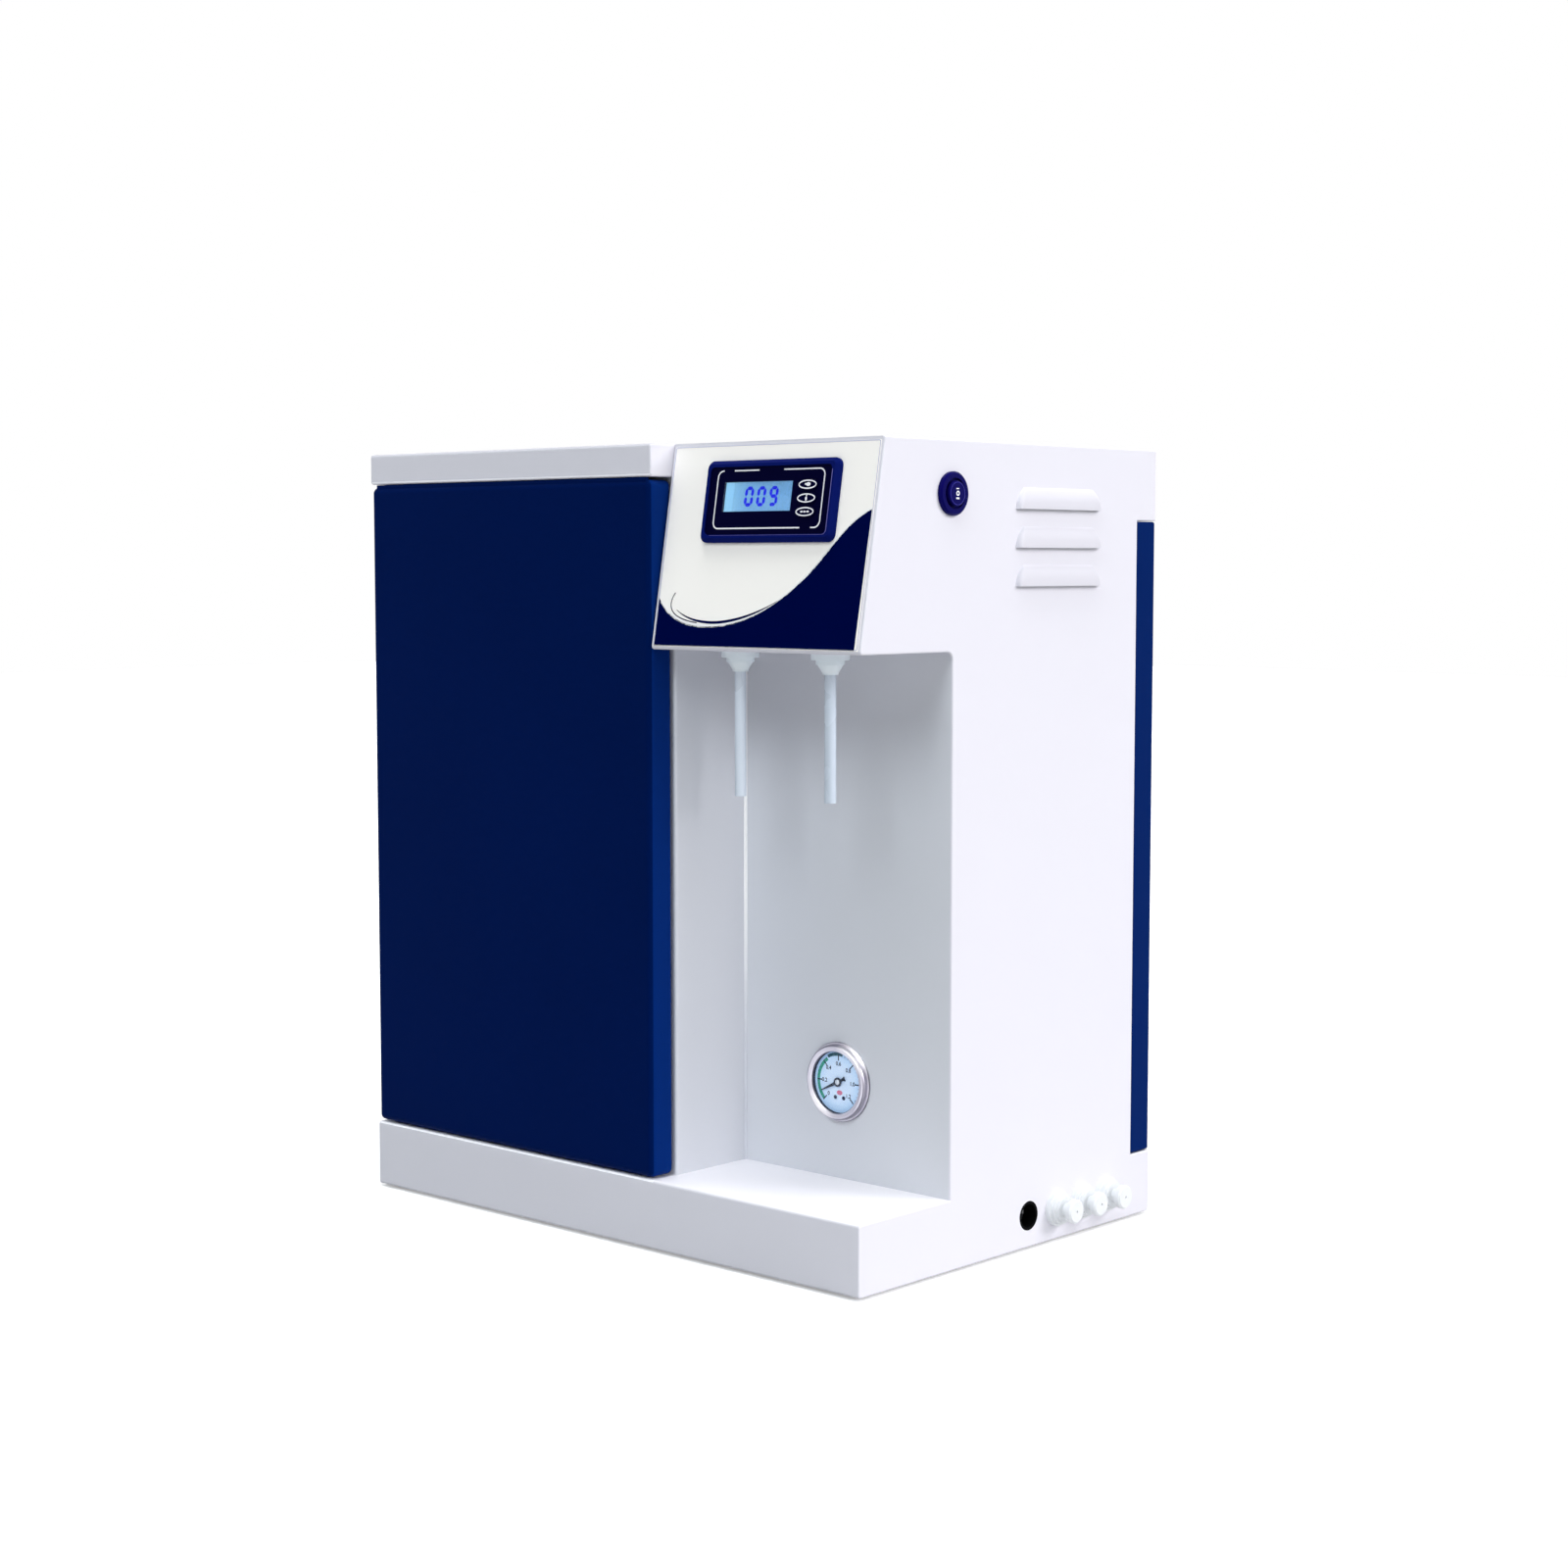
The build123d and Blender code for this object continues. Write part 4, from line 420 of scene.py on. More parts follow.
# The ports' faint emission is a painted glow that lifts the shade on their round sides.
port_painted_glow_finish = finish("port_plastic_painted_glow", ink(207, 210, 213), 0.40, grain=0.8, depth=0.006, drift=0.008,
                     Emission_Color=ink(250, 252, 255), Emission_Strength=0.15)
for port_piece in ("port_fittings", "plug_inlet_port", "plug_tank_port", "plug_drain_port"):
    own_finishes[port_piece] = port_painted_glow_finish
own_finishes["cable_bushing"] = finish("deep_black_rubber", ink(4, 4, 6), 0.80, grain=0.5, depth=0.02,
                                       drift=0.10, specular=0.05)
finishes["zinc_sheet"] = make_zinc()
finishes["polished_steel"] = finish("polished_steel", ink(226, 224, 232), 0.16, grain=2.0, depth=0.003,
                                    drift=0.02, metallic=1.0)
finishes["black_rubber"] = finish("black_rubber", ink(26, 26, 28), 0.78, grain=0.5, depth=0.03, drift=0.10,
                                  specular=0.3)
finishes["black_plastic"] = finish("black_plastic", ink(22, 23, 27), 0.45, grain=0.6, depth=0.012, drift=0.08,
                                   specular=0.3)
finishes["white_plastic"] = finish("white_fitting_plastic", ink(216, 219, 218), 0.40, grain=0.8, depth=0.006,
                                   drift=0.008)
print("housing finishes:", len(finishes))

# %% [markdown]
# ## Film, controller and screen
#
# The sloping face carries a printed polyester film with a fine matt surface; its faint emission is a painted
# glow that lifts it out of the front's shade. The controller is a navy moulding with a nearly black fascia.
# Its screen is lit from behind through a light guide, brightest along the left edge where the lamps sit, so
# the screen's material has a little emission that falls off from it.

# %% Finishes of the face
finishes["printed_overlay"] = finish("cream_film_painted_glow", ink(255, 252, 247), 0.55, grain=0.35, depth=0.004,
                                     drift=0.004, specular=0.7, Emission_Color=ink(255, 246, 236),
                                     Emission_Strength=0.06)
finishes["bezel_navy"] = finish("navy_bezel", ink(12, 24, 96), 0.30, grain=0.8, depth=0.006, drift=0.06,
                                specular=0.005, gloss_tint=blue_gloss)
finishes["fascia_navy"] = finish("dark_fascia", ink(2, 1, 36), 0.35, grain=0.5, depth=0.003, drift=0.08,
                                 specular=0.02, gloss_tint=blue_gloss)
finishes["key_navy"] = finish("dark_key", ink(2, 1, 38), 0.40, grain=0.5, depth=0.004, drift=0.08,
                              specular=0.02, gloss_tint=blue_gloss)
finishes["switch_navy"] = finish("navy_switch", ink(12, 7, 82), 0.28, grain=0.6, depth=0.005, drift=0.06,
                                 specular=0.05, gloss_tint=blue_gloss)
finishes["board_green"] = finish("board_green", ink(24, 92, 58), 0.42, grain=1.6, depth=0.05, drift=0.18,
                                 drift_size=6.0)


screen_corner = (99.7, -129.0, 457.4)
glow_reach = 16.0


def make_screen():
    """Backlit screen: a pale blue that grows lighter over the last millimetres before its left edge."""
    material = bpy.data.materials.new("lit_screen")
    material.use_nodes = True
    tree = material.node_tree
    shader = tree.nodes["Principled BSDF"]
    shader.inputs["Specular IOR Level"].default_value = 0.2
    shader.inputs["Roughness"].default_value = 0.35
    shader.inputs["Base Color"].default_value = ink(70, 110, 150)
    place = place_socket(tree, centre=screen_corner)
    axes = add_node(tree, "ShaderNodeSeparateXYZ")
    tree.links.new(place, axes.inputs["Vector"])
    glow = add_node(tree, "ShaderNodeMapRange", interpolation_type="SMOOTHSTEP")
    glow.inputs["From Min"].default_value = 0.0
    glow.inputs["From Max"].default_value = glow_reach * mm
    glow.inputs["To Min"].default_value = 1.0
    glow.inputs["To Max"].default_value = 0.0
    tree.links.new(axes.outputs["X"], glow.inputs["Value"])
    cloud = spread(tree, noise_socket(tree, place, 26.0, 1.0), 0.0, 0.12)
    total = add_node(tree, "ShaderNodeMath", operation="ADD")
    tree.links.new(glow.outputs["Result"], total.inputs[0])
    tree.links.new(cloud, total.inputs[1])
    tree.links.new(blend(tree, total.outputs[0], ink(112, 168, 218), ink(146, 204, 232)),
                   shader.inputs["Emission Color"])
    shader.inputs["Emission Strength"].default_value = 0.85
    return material


finishes["lcd_screen"] = make_screen()
print("face finishes ready")

# %% [markdown]
# ## Clear pieces
#
# The pane over the screen and the gauge's lens are thin, and what matters is what shows through them. A
# low, plain alpha does that, and it lets lamps reach the dial. The nozzle tubes and their collars are
# milky: they scatter nearly all the light, so they get a pale bluish body with a high gloss.

# %% Finishes of the clear pieces
finishes["clear_pane"] = finish("clear_pane", ink(190, 214, 240), 0.06, grain=4.0, depth=0.0005, drift=0.05,
                                specular=0.3, Alpha=0.05)
finishes["clear_tube"] = finish("clear_hose", ink(216, 226, 238), 0.28, grain=3.0, depth=0.01, drift=0.02,
                                specular=0.9)
# The right tube, nearer the flank lamps, gets a darker copy of the hose colour: painted shade.
own_finishes["nozzle_tube_right"] = finish("clear_hose_painted_shade", ink(200, 211, 224), 0.28, grain=3.0,
                                           depth=0.01, drift=0.02, specular=0.6)
finishes["frosted_plastic"] = finish("frosted_plastic", ink(240, 249, 255), 0.40, grain=0.8, depth=0.01,
                                     drift=0.02, specular=0.7)
print("clear finishes ready")

# %% [markdown]
# ## Works inside
#
# Behind the door and the covers are filter cartridges, vessels, a pump and valves. They show when the door
# is open, so they get finishes of their own: glossy white bottles, blue and white hoses, black motor paint,
# and stacked iron with its fine lamination lines.

# %% Finishes of the inside
finishes["filter_white"] = finish("filter_bottle", ink(236, 239, 243), 0.42, grain=2.2, depth=0.01,
                                  drift=0.015)
finishes["motor_black"] = finish("motor_paint", ink(30, 31, 35), 0.38, grain=0.9, depth=0.02, drift=0.10)
finishes["tube_blue"] = finish("blue_hose", ink(32, 84, 168), 0.30, grain=1.5, depth=0.01, drift=0.06)
finishes["tube_white"] = finish("white_hose", ink(232, 236, 240), 0.30, grain=1.5, depth=0.01, drift=0.02)
finishes["brass_works"] = finish("brass", ink(196, 160, 92), 0.24, grain=1.0, depth=0.004, drift=0.08,
                                 metallic=1.0, drift_size=12.0)
finishes["core_steel"] = finish("laminated_iron", ink(74, 74, 80), 0.50, grain=0.5, depth=0.05, drift=0.12,
                                metallic=0.6, stretch=(0.06, 1.0, 0.06))
print("all finishes:", len(finishes))

# %% [markdown]
# ## The gauge's ring
#
# The case and its ring are turned metal, and their tone is painted light. A ramp over the distance from the
# axis paints narrow light and dark lines along the steps, painted highlights and painted shade, and twice the
# angle round it paints two broad highlights across from each other.

# %% Painted light of the ring: radius in mm and grey of each painted line
gauge_centre = (129.55, -62.0, 106.2)
ring_painted_light_tones = ((19.2, 70), (19.7, 206), (21.2, 188), (22.3, 208), (22.9, 160), (23.25, 112), (23.5, 172),
              (24.2, 192), (24.7, 176), (25.0, 120))
painted_highlight_angle = 52.0


def make_gauge_metal_painted_light():
    """Turned metal with painted light: a ramp over the radius paints light and dark lines, twice the angle
    paints two highlights.
    """
    material = finish("turned_metal_painted_light", ink(210, 206, 220), 0.34, grain=0.6, depth=0.002, drift=0.02,
                      metallic=1.0)
    tree = material.node_tree
    shader = tree.nodes["Principled BSDF"]
    place = place_socket(tree, centre=gauge_centre, stretch=(1.0, 0.0, 1.0))
    length = add_node(tree, "ShaderNodeVectorMath", operation="LENGTH")
    tree.links.new(place, length.inputs[0])
    radius = add_node(tree, "ShaderNodeMapRange")
    radius.inputs["From Min"].default_value = ring_painted_light_tones[0][0] * mm
    radius.inputs["From Max"].default_value = ring_painted_light_tones[-1][0] * mm
    tree.links.new(length.outputs["Value"], radius.inputs["Value"])
    ramp = add_node(tree, "ShaderNodeValToRGB")
    span = ring_painted_light_tones[-1][0] - ring_painted_light_tones[0][0]
    for number, (distance, tone) in enumerate(ring_painted_light_tones):
        share = (distance - ring_painted_light_tones[0][0]) / span
        if number in (0, len(ring_painted_light_tones) - 1):
            stop = ramp.color_ramp.elements[0 if number == 0 else -1]
            stop.position = share
        else:
            stop = ramp.color_ramp.elements.new(share)
        stop.color = ink(tone, tone - 3, tone + 8)
    tree.links.new(radius.outputs["Result"], ramp.inputs["Fac"])
    axes = add_node(tree, "ShaderNodeSeparateXYZ")
    tree.links.new(place, axes.inputs["Vector"])
    angle = add_node(tree, "ShaderNodeMath", operation="ARCTAN2")
    tree.links.new(axes.outputs["Z"], angle.inputs[0])
    tree.links.new(axes.outputs["X"], angle.inputs[1])
    doubled = add_node(tree, "ShaderNodeMath", operation="MULTIPLY_ADD")
    doubled.inputs[1].default_value = 2.0
    doubled.inputs[2].default_value = -2.0 * math.radians(painted_highlight_angle)
    tree.links.new(angle.outputs[0], doubled.inputs[0])
    wave = add_node(tree, "ShaderNodeMath", operation="COSINE")
    tree.links.new(doubled.outputs[0], wave.inputs[0])
    bright = add_node(tree, "ShaderNodeMapRange", interpolation_type="SMOOTHSTEP")
    bright.inputs["From Min"].default_value = 0.2
    bright.inputs["From Max"].default_value = 1.0
    tree.links.new(wave.outputs[0], bright.inputs["Value"])
    tree.links.new(blend(tree, bright.outputs["Result"], ramp.outputs["Color"], ink(232, 229, 234)),
                   shader.inputs["Base Color"])
    return material


own_finishes["gauge_case"] = own_finishes["gauge_bezel"] = make_gauge_metal_painted_light()
print("tones along the ring:", len(ring_painted_light_tones))

# %% [markdown]
# ## Dial plate
#
# The dial is a thin metal plate with a pale blue print, slightly deeper in tone near its rim, and a faint
# blue emission, a painted glow that lifts it above the light that reaches it. The pointer is matt black.

# %% Finishes of the dial and the pointer
dial_fade = (9.0, 19.4)


def make_dial_face_painted_glow():
    """Pale blue plate with a painted glow: the distance from the centre moves the colour from light to
    slightly deeper.
    """
    material = finish("dial_plate_painted_glow", ink(236, 247, 250), 0.50, grain=0.4, depth=0.002, drift=0.01,
                      specular=0.2, Emission_Color=ink(120, 170, 255), Emission_Strength=0.24)
    tree = material.node_tree
    shader = tree.nodes["Principled BSDF"]
    place = place_socket(tree, centre=gauge_centre, stretch=(1.0, 0.0, 1.0))
    length = add_node(tree, "ShaderNodeVectorMath", operation="LENGTH")
    tree.links.new(place, length.inputs[0])
    edge = add_node(tree, "ShaderNodeMapRange", interpolation_type="SMOOTHSTEP")
    edge.inputs["From Min"].default_value = dial_fade[0] * mm
    edge.inputs["From Max"].default_value = dial_fade[1] * mm
    tree.links.new(length.outputs["Value"], edge.inputs["Value"])
    plain = shader.inputs["Base Color"].links[0].from_socket
    tree.links.new(blend(tree, edge.outputs["Result"], plain, ink(208, 234, 246)),
                   shader.inputs["Base Color"])
    return material


finishes["dial_face"] = make_dial_face_painted_glow()
finishes["pointer_black"] = finish("pointer_black", ink(8, 9, 28), 0.40, grain=0.5, depth=0.004, drift=0.08,
                                   specular=0.2)
print("dial deepens from", dial_fade[0], "to", dial_fade[1], "mm")

# %% [markdown]
# ## Dressing the solids
#
# The record of the model names a kind of surface for each solid. The finishes above are kept under the same
# names, so one loop dresses them all. A few solids have a finish of their own, because the real piece
# differs from its kind, and that one goes first.

# %% Give every solid its finish


def dress_solids():
    """Puts its own finish, or else that of its record slot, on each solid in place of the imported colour."""
    slots = {part["node"]: part["material_slot"] for part in frame["record"]["subparts"]}
    for name, solid in frame["nodes"].items():
        solid.data.materials.clear()
        solid.data.materials.append(own_finishes.get(name, finishes[slots[name]]))
    return len(slots)


print("dressed:", dress_solids())

# %% [markdown]
# ## Printing on a flat place
#
# Inks, marks and figures are real thin pieces, a few hundredths of a millimetre proud, as a screen print
# is. Each lies on a flat place of the machine: the sloping face, the gauge's wall or the switch. A place
# is an origin and two directions, and a flat drawing in millimetres is carried to it. A line of print is
# a band: its centre line, moved half a width to each side.

# %% Helpers for print
ink_stand = 0.05
ink_thickness = 0.04


def make_place(origin, across, up):
    """Flat place: its origin in millimetres, its two directions and the direction that it faces."""
    across, up = np.array(across, float), np.array(up, float)
    return {"origin": np.array(origin, float), "across": across, "up": up, "out": np.cross(across, up)}


def carry(place, flat, height):
    """Flat (a, b) in space: origin + a times across + b times up + height times out, made metres."""
    flat = np.asarray(flat, float)
    height = np.asarray(height, float)[..., None]
    point = place["origin"] + flat[..., :1] * place["across"] + flat[..., 1:] * place["up"]
    return (point + height * place["out"]) * mm


def grid_faces(rows, columns, close_rows=False, close_columns=False):
    """Four corners of every cell of a grid, with its last row or column joined to the first on demand."""
    index = np.arange(rows * columns).reshape(rows, columns)
    if close_rows:
        index = np.concatenate([index, index[:1]], axis=0)
    if close_columns:
        index = np.concatenate([index, index[:, :1]], axis=1)
    cells = (index[:-1, :-1], index[:-1, 1:], index[1:, 1:], index[1:, :-1])
    return np.stack(cells, axis=-1).reshape(-1, 4)


def add_piece(name, points, faces, material, body):
    """Mesh object from points in metres and lists of corners. It rides on a body."""
    mesh = bpy.data.meshes.new(name)
    mesh.from_pydata(points.reshape(-1, 3).tolist(), [], faces)
    mesh.materials.append(material)
    piece = bpy.data.objects.new(name, mesh)
    bpy.context.scene.collection.objects.link(piece)
    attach(piece, body)
    return piece


def thicken(piece, thickness):
    """Gives a sheet its thickness inwards, so that its seen side stays where it is."""
    shell = piece.modifiers.new("thickness", "SOLIDIFY")
    shell.thickness = thickness * mm
    shell.offset = -1.0


def print_grids(name, place, height, grids, material, body, closed=False):
    """One printed piece from several flat grids, each (rows, columns, 2)."""
    points, faces, count = [], [], 0
    for grid in grids:
        rows, columns = grid.shape[:2]
        points.append(carry(place, grid, height + ink_stand).reshape(-1, 3))
        faces += (grid_faces(rows, columns, close_columns=closed) + count).tolist()
        count += rows * columns
    piece = add_piece(name, np.concatenate(points), faces, material, body)
    thicken(piece, ink_thickness)
    return piece


def print_shapes(name, place, height, shapes, material, body):
    """One printed piece from closed outlines, each (corners, 2), anticlockwise."""
    points, faces, count = [], [], 0
    for shape in shapes:
        points.append(carry(place, shape, height + ink_stand))
        faces.append(list(range(count, count + len(shape))))
        count += len(shape)
    piece = add_piece(name, np.concatenate(points), faces, material, body)
    thicken(piece, ink_thickness)
    return piece


print("ink stands", ink_stand, "mm off and is", ink_thickness, "mm thick")

# %% [markdown]
# ## Lines to print along
#
# Every line of print follows an arc, a smooth curve or a path with rounded corners. Each of these is worked
# out as a whole array of points, and a band then gives the line its width.

# %% Bands, arcs and curves


def band(line, half_width, closed=False):
    """Both edges of a band: the centre line moved by half its width, square to its own direction."""
    line = np.asarray(line, float)
    way = np.roll(line, -1, axis=0) - np.roll(line, 1, axis=0) if closed else np.gradient(line, axis=0)
    way /= np.linalg.norm(way, axis=1, keepdims=True)
    side = np.stack([-way[:, 1], way[:, 0]], axis=1) * np.broadcast_to(half_width, len(line))[:, None]
    return np.stack([line - side, line + side])


def arc(centre, radius, first, last, steps):
    """Points round a circle or an ellipse, from one angle to another in degrees."""
    angle = np.radians(np.linspace(first, last, steps))
    circle = np.stack([np.cos(angle), np.sin(angle)], axis=1)
    return np.asarray(centre, float) + circle * np.asarray(radius, float)


def curve(corners, steps):
    """Smooth run of cubic curves: each group of three points after the first is two handles and an end."""
    t = np.linspace(0.0, 1.0, steps)[:, None]
    runs = []
    for k in range(0, len(corners) - 1, 3):
        a, b, c, d = (np.array(p, float) for p in corners[k:k + 4])
        run = (1 - t) ** 3 * a + 3 * (1 - t) ** 2 * t * b + 3 * (1 - t) * t ** 2 * c + t ** 3 * d
        runs.append(run if k == 0 else run[1:])
    return np.concatenate(runs)


def rounded(corners, radius):
    """Path through corners where each inner one becomes an arc that starts and ends a radius away from it."""
    corners = np.array(corners, float)
    t = np.linspace(0.0, 1.0, 10)[:, None]
    parts = [corners[:1]]
    for before, corner, after in zip(corners[:-2], corners[1:-1], corners[2:]):
        start = corner + (before - corner) / np.linalg.norm(before - corner) * radius
        end = corner + (after - corner) / np.linalg.norm(after - corner) * radius
        middle = (1 - t) * start + t * end
        centre = start + end - corner
        ray = middle - centre
        parts.append(centre + ray / np.linalg.norm(ray, axis=1, keepdims=True) * radius)
    parts.append(corners[-1:])
    return np.concatenate(parts)


print("points on a quarter turn:", len(arc((0, 0), 1.0, 0, 90, 10)))

# %% [markdown]
# ## The sloping face
#
# The head leans back by 21.5 mm over its height of 125 mm. The film's place starts at the face's lower edge,
# and the controller's place lies in the middle of the controller, on the same slope.

# %% Places on the sloping face
housing_front = -146.0
slope = math.atan(21.5 / 125.0)
up_slope = (0.0, math.sin(slope), math.cos(slope))
face = make_place((0.0, housing_front, 375.0), (1, 0, 0), up_slope)
controller_centre = (136.1, 90.0)
panel = make_place(carry(face, controller_centre, 0.0) / mm, (1, 0, 0), up_slope)
print("places:", np.round(panel["origin"], 2), np.round(panel["out"], 4))

# %% [markdown]
# ## The film's two-tone print
#
# The film is cream above and navy below, parted by one long sweep that dips at the left and climbs to the
# right edge, with a white line along it and two fine accent lines. The sweep is a run of three cubic
# curves, and the navy field is the ruled surface between that curve and the film's lower edge.

# %% Two-tone film
film_front = 0.5
film_left, film_right = 52.0, 214.9
film_low = 2.5
film_low_right = 213.3
sweep = curve([(film_left, 32.0), (57.0, 23.5), (70.0, 14.9), (91.0, 14.7),
               (124.0, 14.0), (152.0, 28.0), (174.0, 48.6),
               (188.0, 62.0), (197.0, 77.0), (film_right, 84.4)], 40)
film_edge = (52.0, 215.5, 2.8, 124.3)
film_edge_half_width = 0.3
film_corner = 1.2
# The lavender line along the film's cut edge is painted shade of that edge.
film_edge_shade_ink = finish("film_edge", ink(206, 206, 224), 0.5, grain=0.35, depth=0.003, drift=0.02, specular=0.1)
navy_ink = finish("navy_ink", ink(0, 8, 64), 0.50, grain=0.35, depth=0.004, drift=0.05, specular=0.0)
white_ink = finish("white_ink", ink(255, 255, 255), 0.50, grain=0.35, depth=0.004, drift=0.004, specular=0.2)


def make_film_print():
    """Navy field as a ruled surface, the white line and the accents as bands that taper to their ends."""
    share = (sweep[:, 0] - film_left) / (film_right - film_left)
    across = film_left + share * (film_low_right - film_left)
    lower = np.stack([across, np.full(len(sweep), film_low)], axis=1)
    rows = np.linspace(0.0, 1.0, 6)[:, None, None]
    field = lower[None] * (1 - rows) + sweep[None] * rows
    print_grids("film_navy_field", face, film_front, [field], navy_ink, "housing")
    part = sweep[4:]
    along = np.linspace(0.0, 1.0, len(part))
    width = 0.62 + 0.45 * np.exp(-((along - 0.25) / 0.22) ** 2)
    edge = band(part + np.array([0.0, 0.35]), width)
    print_grids("film_white_line", face, film_front, [edge], white_ink, "housing")
    accent = curve([(68.0, 24.6), (78.0, 18.2), (92.0, 16.6), (104.0, 17.4),
                    (122.0, 18.8), (138.0, 24.6), (150.0, 30.9)], 30)
    taper = np.sin(np.linspace(0.12, math.pi - 0.02, len(accent))) * 0.80 + 0.05
    fine = curve([(65.4, 35.0), (61.2, 29.6), (62.0, 24.6), (67.4, 21.6),
                  (72.0, 19.0), (79.0, 17.6), (86.0, 16.9)], 24)
    thin = np.full(len(fine), 0.34)
    accents = [band(accent, taper), band(fine, thin)]
    print_grids("film_accent_lines", face, film_front + ink_thickness, accents, navy_ink, "housing")


def make_film_edge_shade():
    """Thin lavender line of painted shade along the film's cut edge, as one closed band with rounded corners.
    """
    left, right, low, high = film_edge
    middle = (left + right) / 2
    corners = [(middle, low), (right, low), (right, high), (left, high), (left, low), (middle, low)]
    loop = rounded(corners, film_corner)[:-1]
    print_grids("film_edge_shade_line", face, film_front, [band(loop, film_edge_half_width, closed=True)], film_edge_shade_ink,
                "housing", closed=True)


make_film_print()
make_film_edge_shade()
print("film print: sweep of", len(sweep), "points")

# %% [markdown]
# ## Controller print
#
# A thin white frame runs round the fascia and breaks in three places. A fine lighter line, a painted
# highlight, runs along the bezel's inner edge at the right and below. Both are bands along paths with
# rounded corners.

# %% Fascia frame and bezel highlight
fascia_front = 4.1
bezel_front = 5.0
frame_half_width = 0.42
bezel_highlight_half_width = 0.24
grey_ink = finish("pale_ink", ink(250, 250, 255), 0.50, grain=0.35, depth=0.003, drift=0.02, specular=0.1)
bezel_highlight_ink = finish("painted_edge_highlight", ink(112, 108, 176), 0.4, grain=0.35, depth=0.002, drift=0.05,
                    specular=0.2)


def make_fascia_frame():
    """Three stretches of one rounded rectangle."""
    low, high, near, far = -16.6, 18.2, -42.4, 42.9
    left_run = rounded([(-37.9, high), (near, high), (near, low), (27.6, low)], 4.0)
    right_run = rounded([(36.1, low), (far, low), (far, high), (10.5, high)], 4.0)
    top_run = np.array([(-29.5, high), (-19.0, high), (-9.4, high)])
    runs = [band(run, frame_half_width) for run in (left_run, right_run, top_run)]
    print_grids("fascia_frame_line", panel, fascia_front, runs, grey_ink, "housing")


def make_bezel_highlight():
    """Fine painted highlight on the bezel's inner edge, down its right side and along its lower side."""
    run = rounded([(49.15, 17.5), (49.15, -20.9), (-44.0, -20.9)], 3.0)
    width = bezel_highlight_half_width * np.linspace(1.0, 0.25, len(run))
    print_grids("bezel_edge_highlight", panel, bezel_front, [band(run, width)], bezel_highlight_ink, "housing")


make_fascia_frame()
make_bezel_highlight()
print("frame line", 2 * frame_half_width, "mm wide")

# %% [markdown]
# ## Figures on the screen
#
# The screen shows three seven-segment figures. A segment is a six-cornered bar, and every figure is the same
# seven bars with some left out, so all bars come from one formula. They glow faintly, as they are lit from
# behind.

# %% Screen figures
screen_front = 2.5
figure_ink = finish("figure_blue", ink(8, 8, 205), 0.45, grain=0.4, depth=0.001, drift=0.03, specular=0.05,
                    Emission_Color=ink(20, 30, 255), Emission_Strength=0.25)
segment_ends = np.array([
    [(0, 2), (1, 2)], [(1, 2), (1, 1)], [(1, 1), (1, 0)], [(0, 0), (1, 0)],
    [(0, 1), (0, 0)], [(0, 2), (0, 1)], [(0, 1), (1, 1)],
], float)
segments_of = {0: (0, 1, 2, 3, 4, 5), 9: (0, 1, 2, 3, 5, 6)}
shown_digits = (0, 0, 9)
figure_corner = (-19.7, -2.2)
figure_pitch = 9.9
figure_slant = 0.06


def figure_bars(digit, corner, width, height, thickness, gap):
    """Six-cornered bars of one figure: both ends, and near each two corners half a thickness to a side."""
    ends = segment_ends[list(segments_of[digit])] * (width, height / 2)
    first, last = ends[:, 0], ends[:, 1]
    way = (last - first) / np.linalg.norm(last - first, axis=1, keepdims=True)
    side = np.stack([-way[:, 1], way[:, 0]], axis=1) * thickness / 2
    first, last, back = first + way * gap, last - way * gap, way * thickness / 2
    bars = np.stack([first, first + back - side, last - back - side, last, last - back + side,
                     first + back + side], axis=1)
    bars[..., 0] += bars[..., 1] * figure_slant
    return list(bars + np.array(corner))


def make_screen_figures():
    """Three figures side by side on the screen, behind the clear pane."""
    bars = []
    for place_in_row, digit in enumerate(shown_digits):
        corner = (figure_corner[0] + figure_pitch * place_in_row, figure_corner[1])
        bars += figure_bars(digit, corner, width=4.9, height=9.9, thickness=2.2, gap=0.12)
    print_shapes("screen_figures", panel, screen_front, bars, figure_ink, "housing")
    return len(bars)


print("bars on the screen:", make_screen_figures())

# %% [markdown]
# ## Key marks
#
# Each oval key has a white ring near its edge and a plain mark in the middle. The marks lie on the keys
# themselves and ride with them, so they go down when a key is pressed.

# %% Key rings and marks
key_top = 4.9
ring_half_width = 0.38
key_places = {"bottom_key": (31.0, -7.35), "middle_key": (31.0, 0.7), "top_key": (31.0, 8.75)}
key_marks = {
    "top_key": [((0.6, 0.1), (1.7, 1.15), 24), ((-1.5, 0.2), (0.7, 0.55), 16)],
    "middle_key": [((0.0, -0.4), (0.85, 1.25), 24), ((0.2, 1.35), (0.5, 0.45), 16)],
    "bottom_key": [((aside, 0.0), (1.1, 0.55), 20) for aside in (-2.4, 0.0, 2.4)],
}


def oval(centre, radius, corners):
    """Closed outline: points at even angles round an ellipse, the first one not repeated."""
    return arc(centre, radius, 0, 360, corners + 1)[:-1]


def make_key_print(body):
    """An elliptical ring and the mark's outlines, moved to the middle of the key."""
    centre = key_places[body]
    ring = band(oval(centre, (6.65, 2.35), 72), ring_half_width, closed=True)
    print_grids(body + "_ring", panel, key_top, [ring], grey_ink, body, closed=True)
    marks = [oval(*mark) + np.array(centre) for mark in key_marks[body]]
    print_shapes(body + "_mark", panel, key_top, marks, grey_ink, body)


for key_body in key_places:
    make_key_print(key_body)
print("keys printed:", len(key_places))

# %% [markdown]
# ## Switch marks
#
# The round push button is navy with a fine, slightly lighter line near its rim, a painted highlight on its
# edge, and three white marks: a dash, a small ring and a short bar.

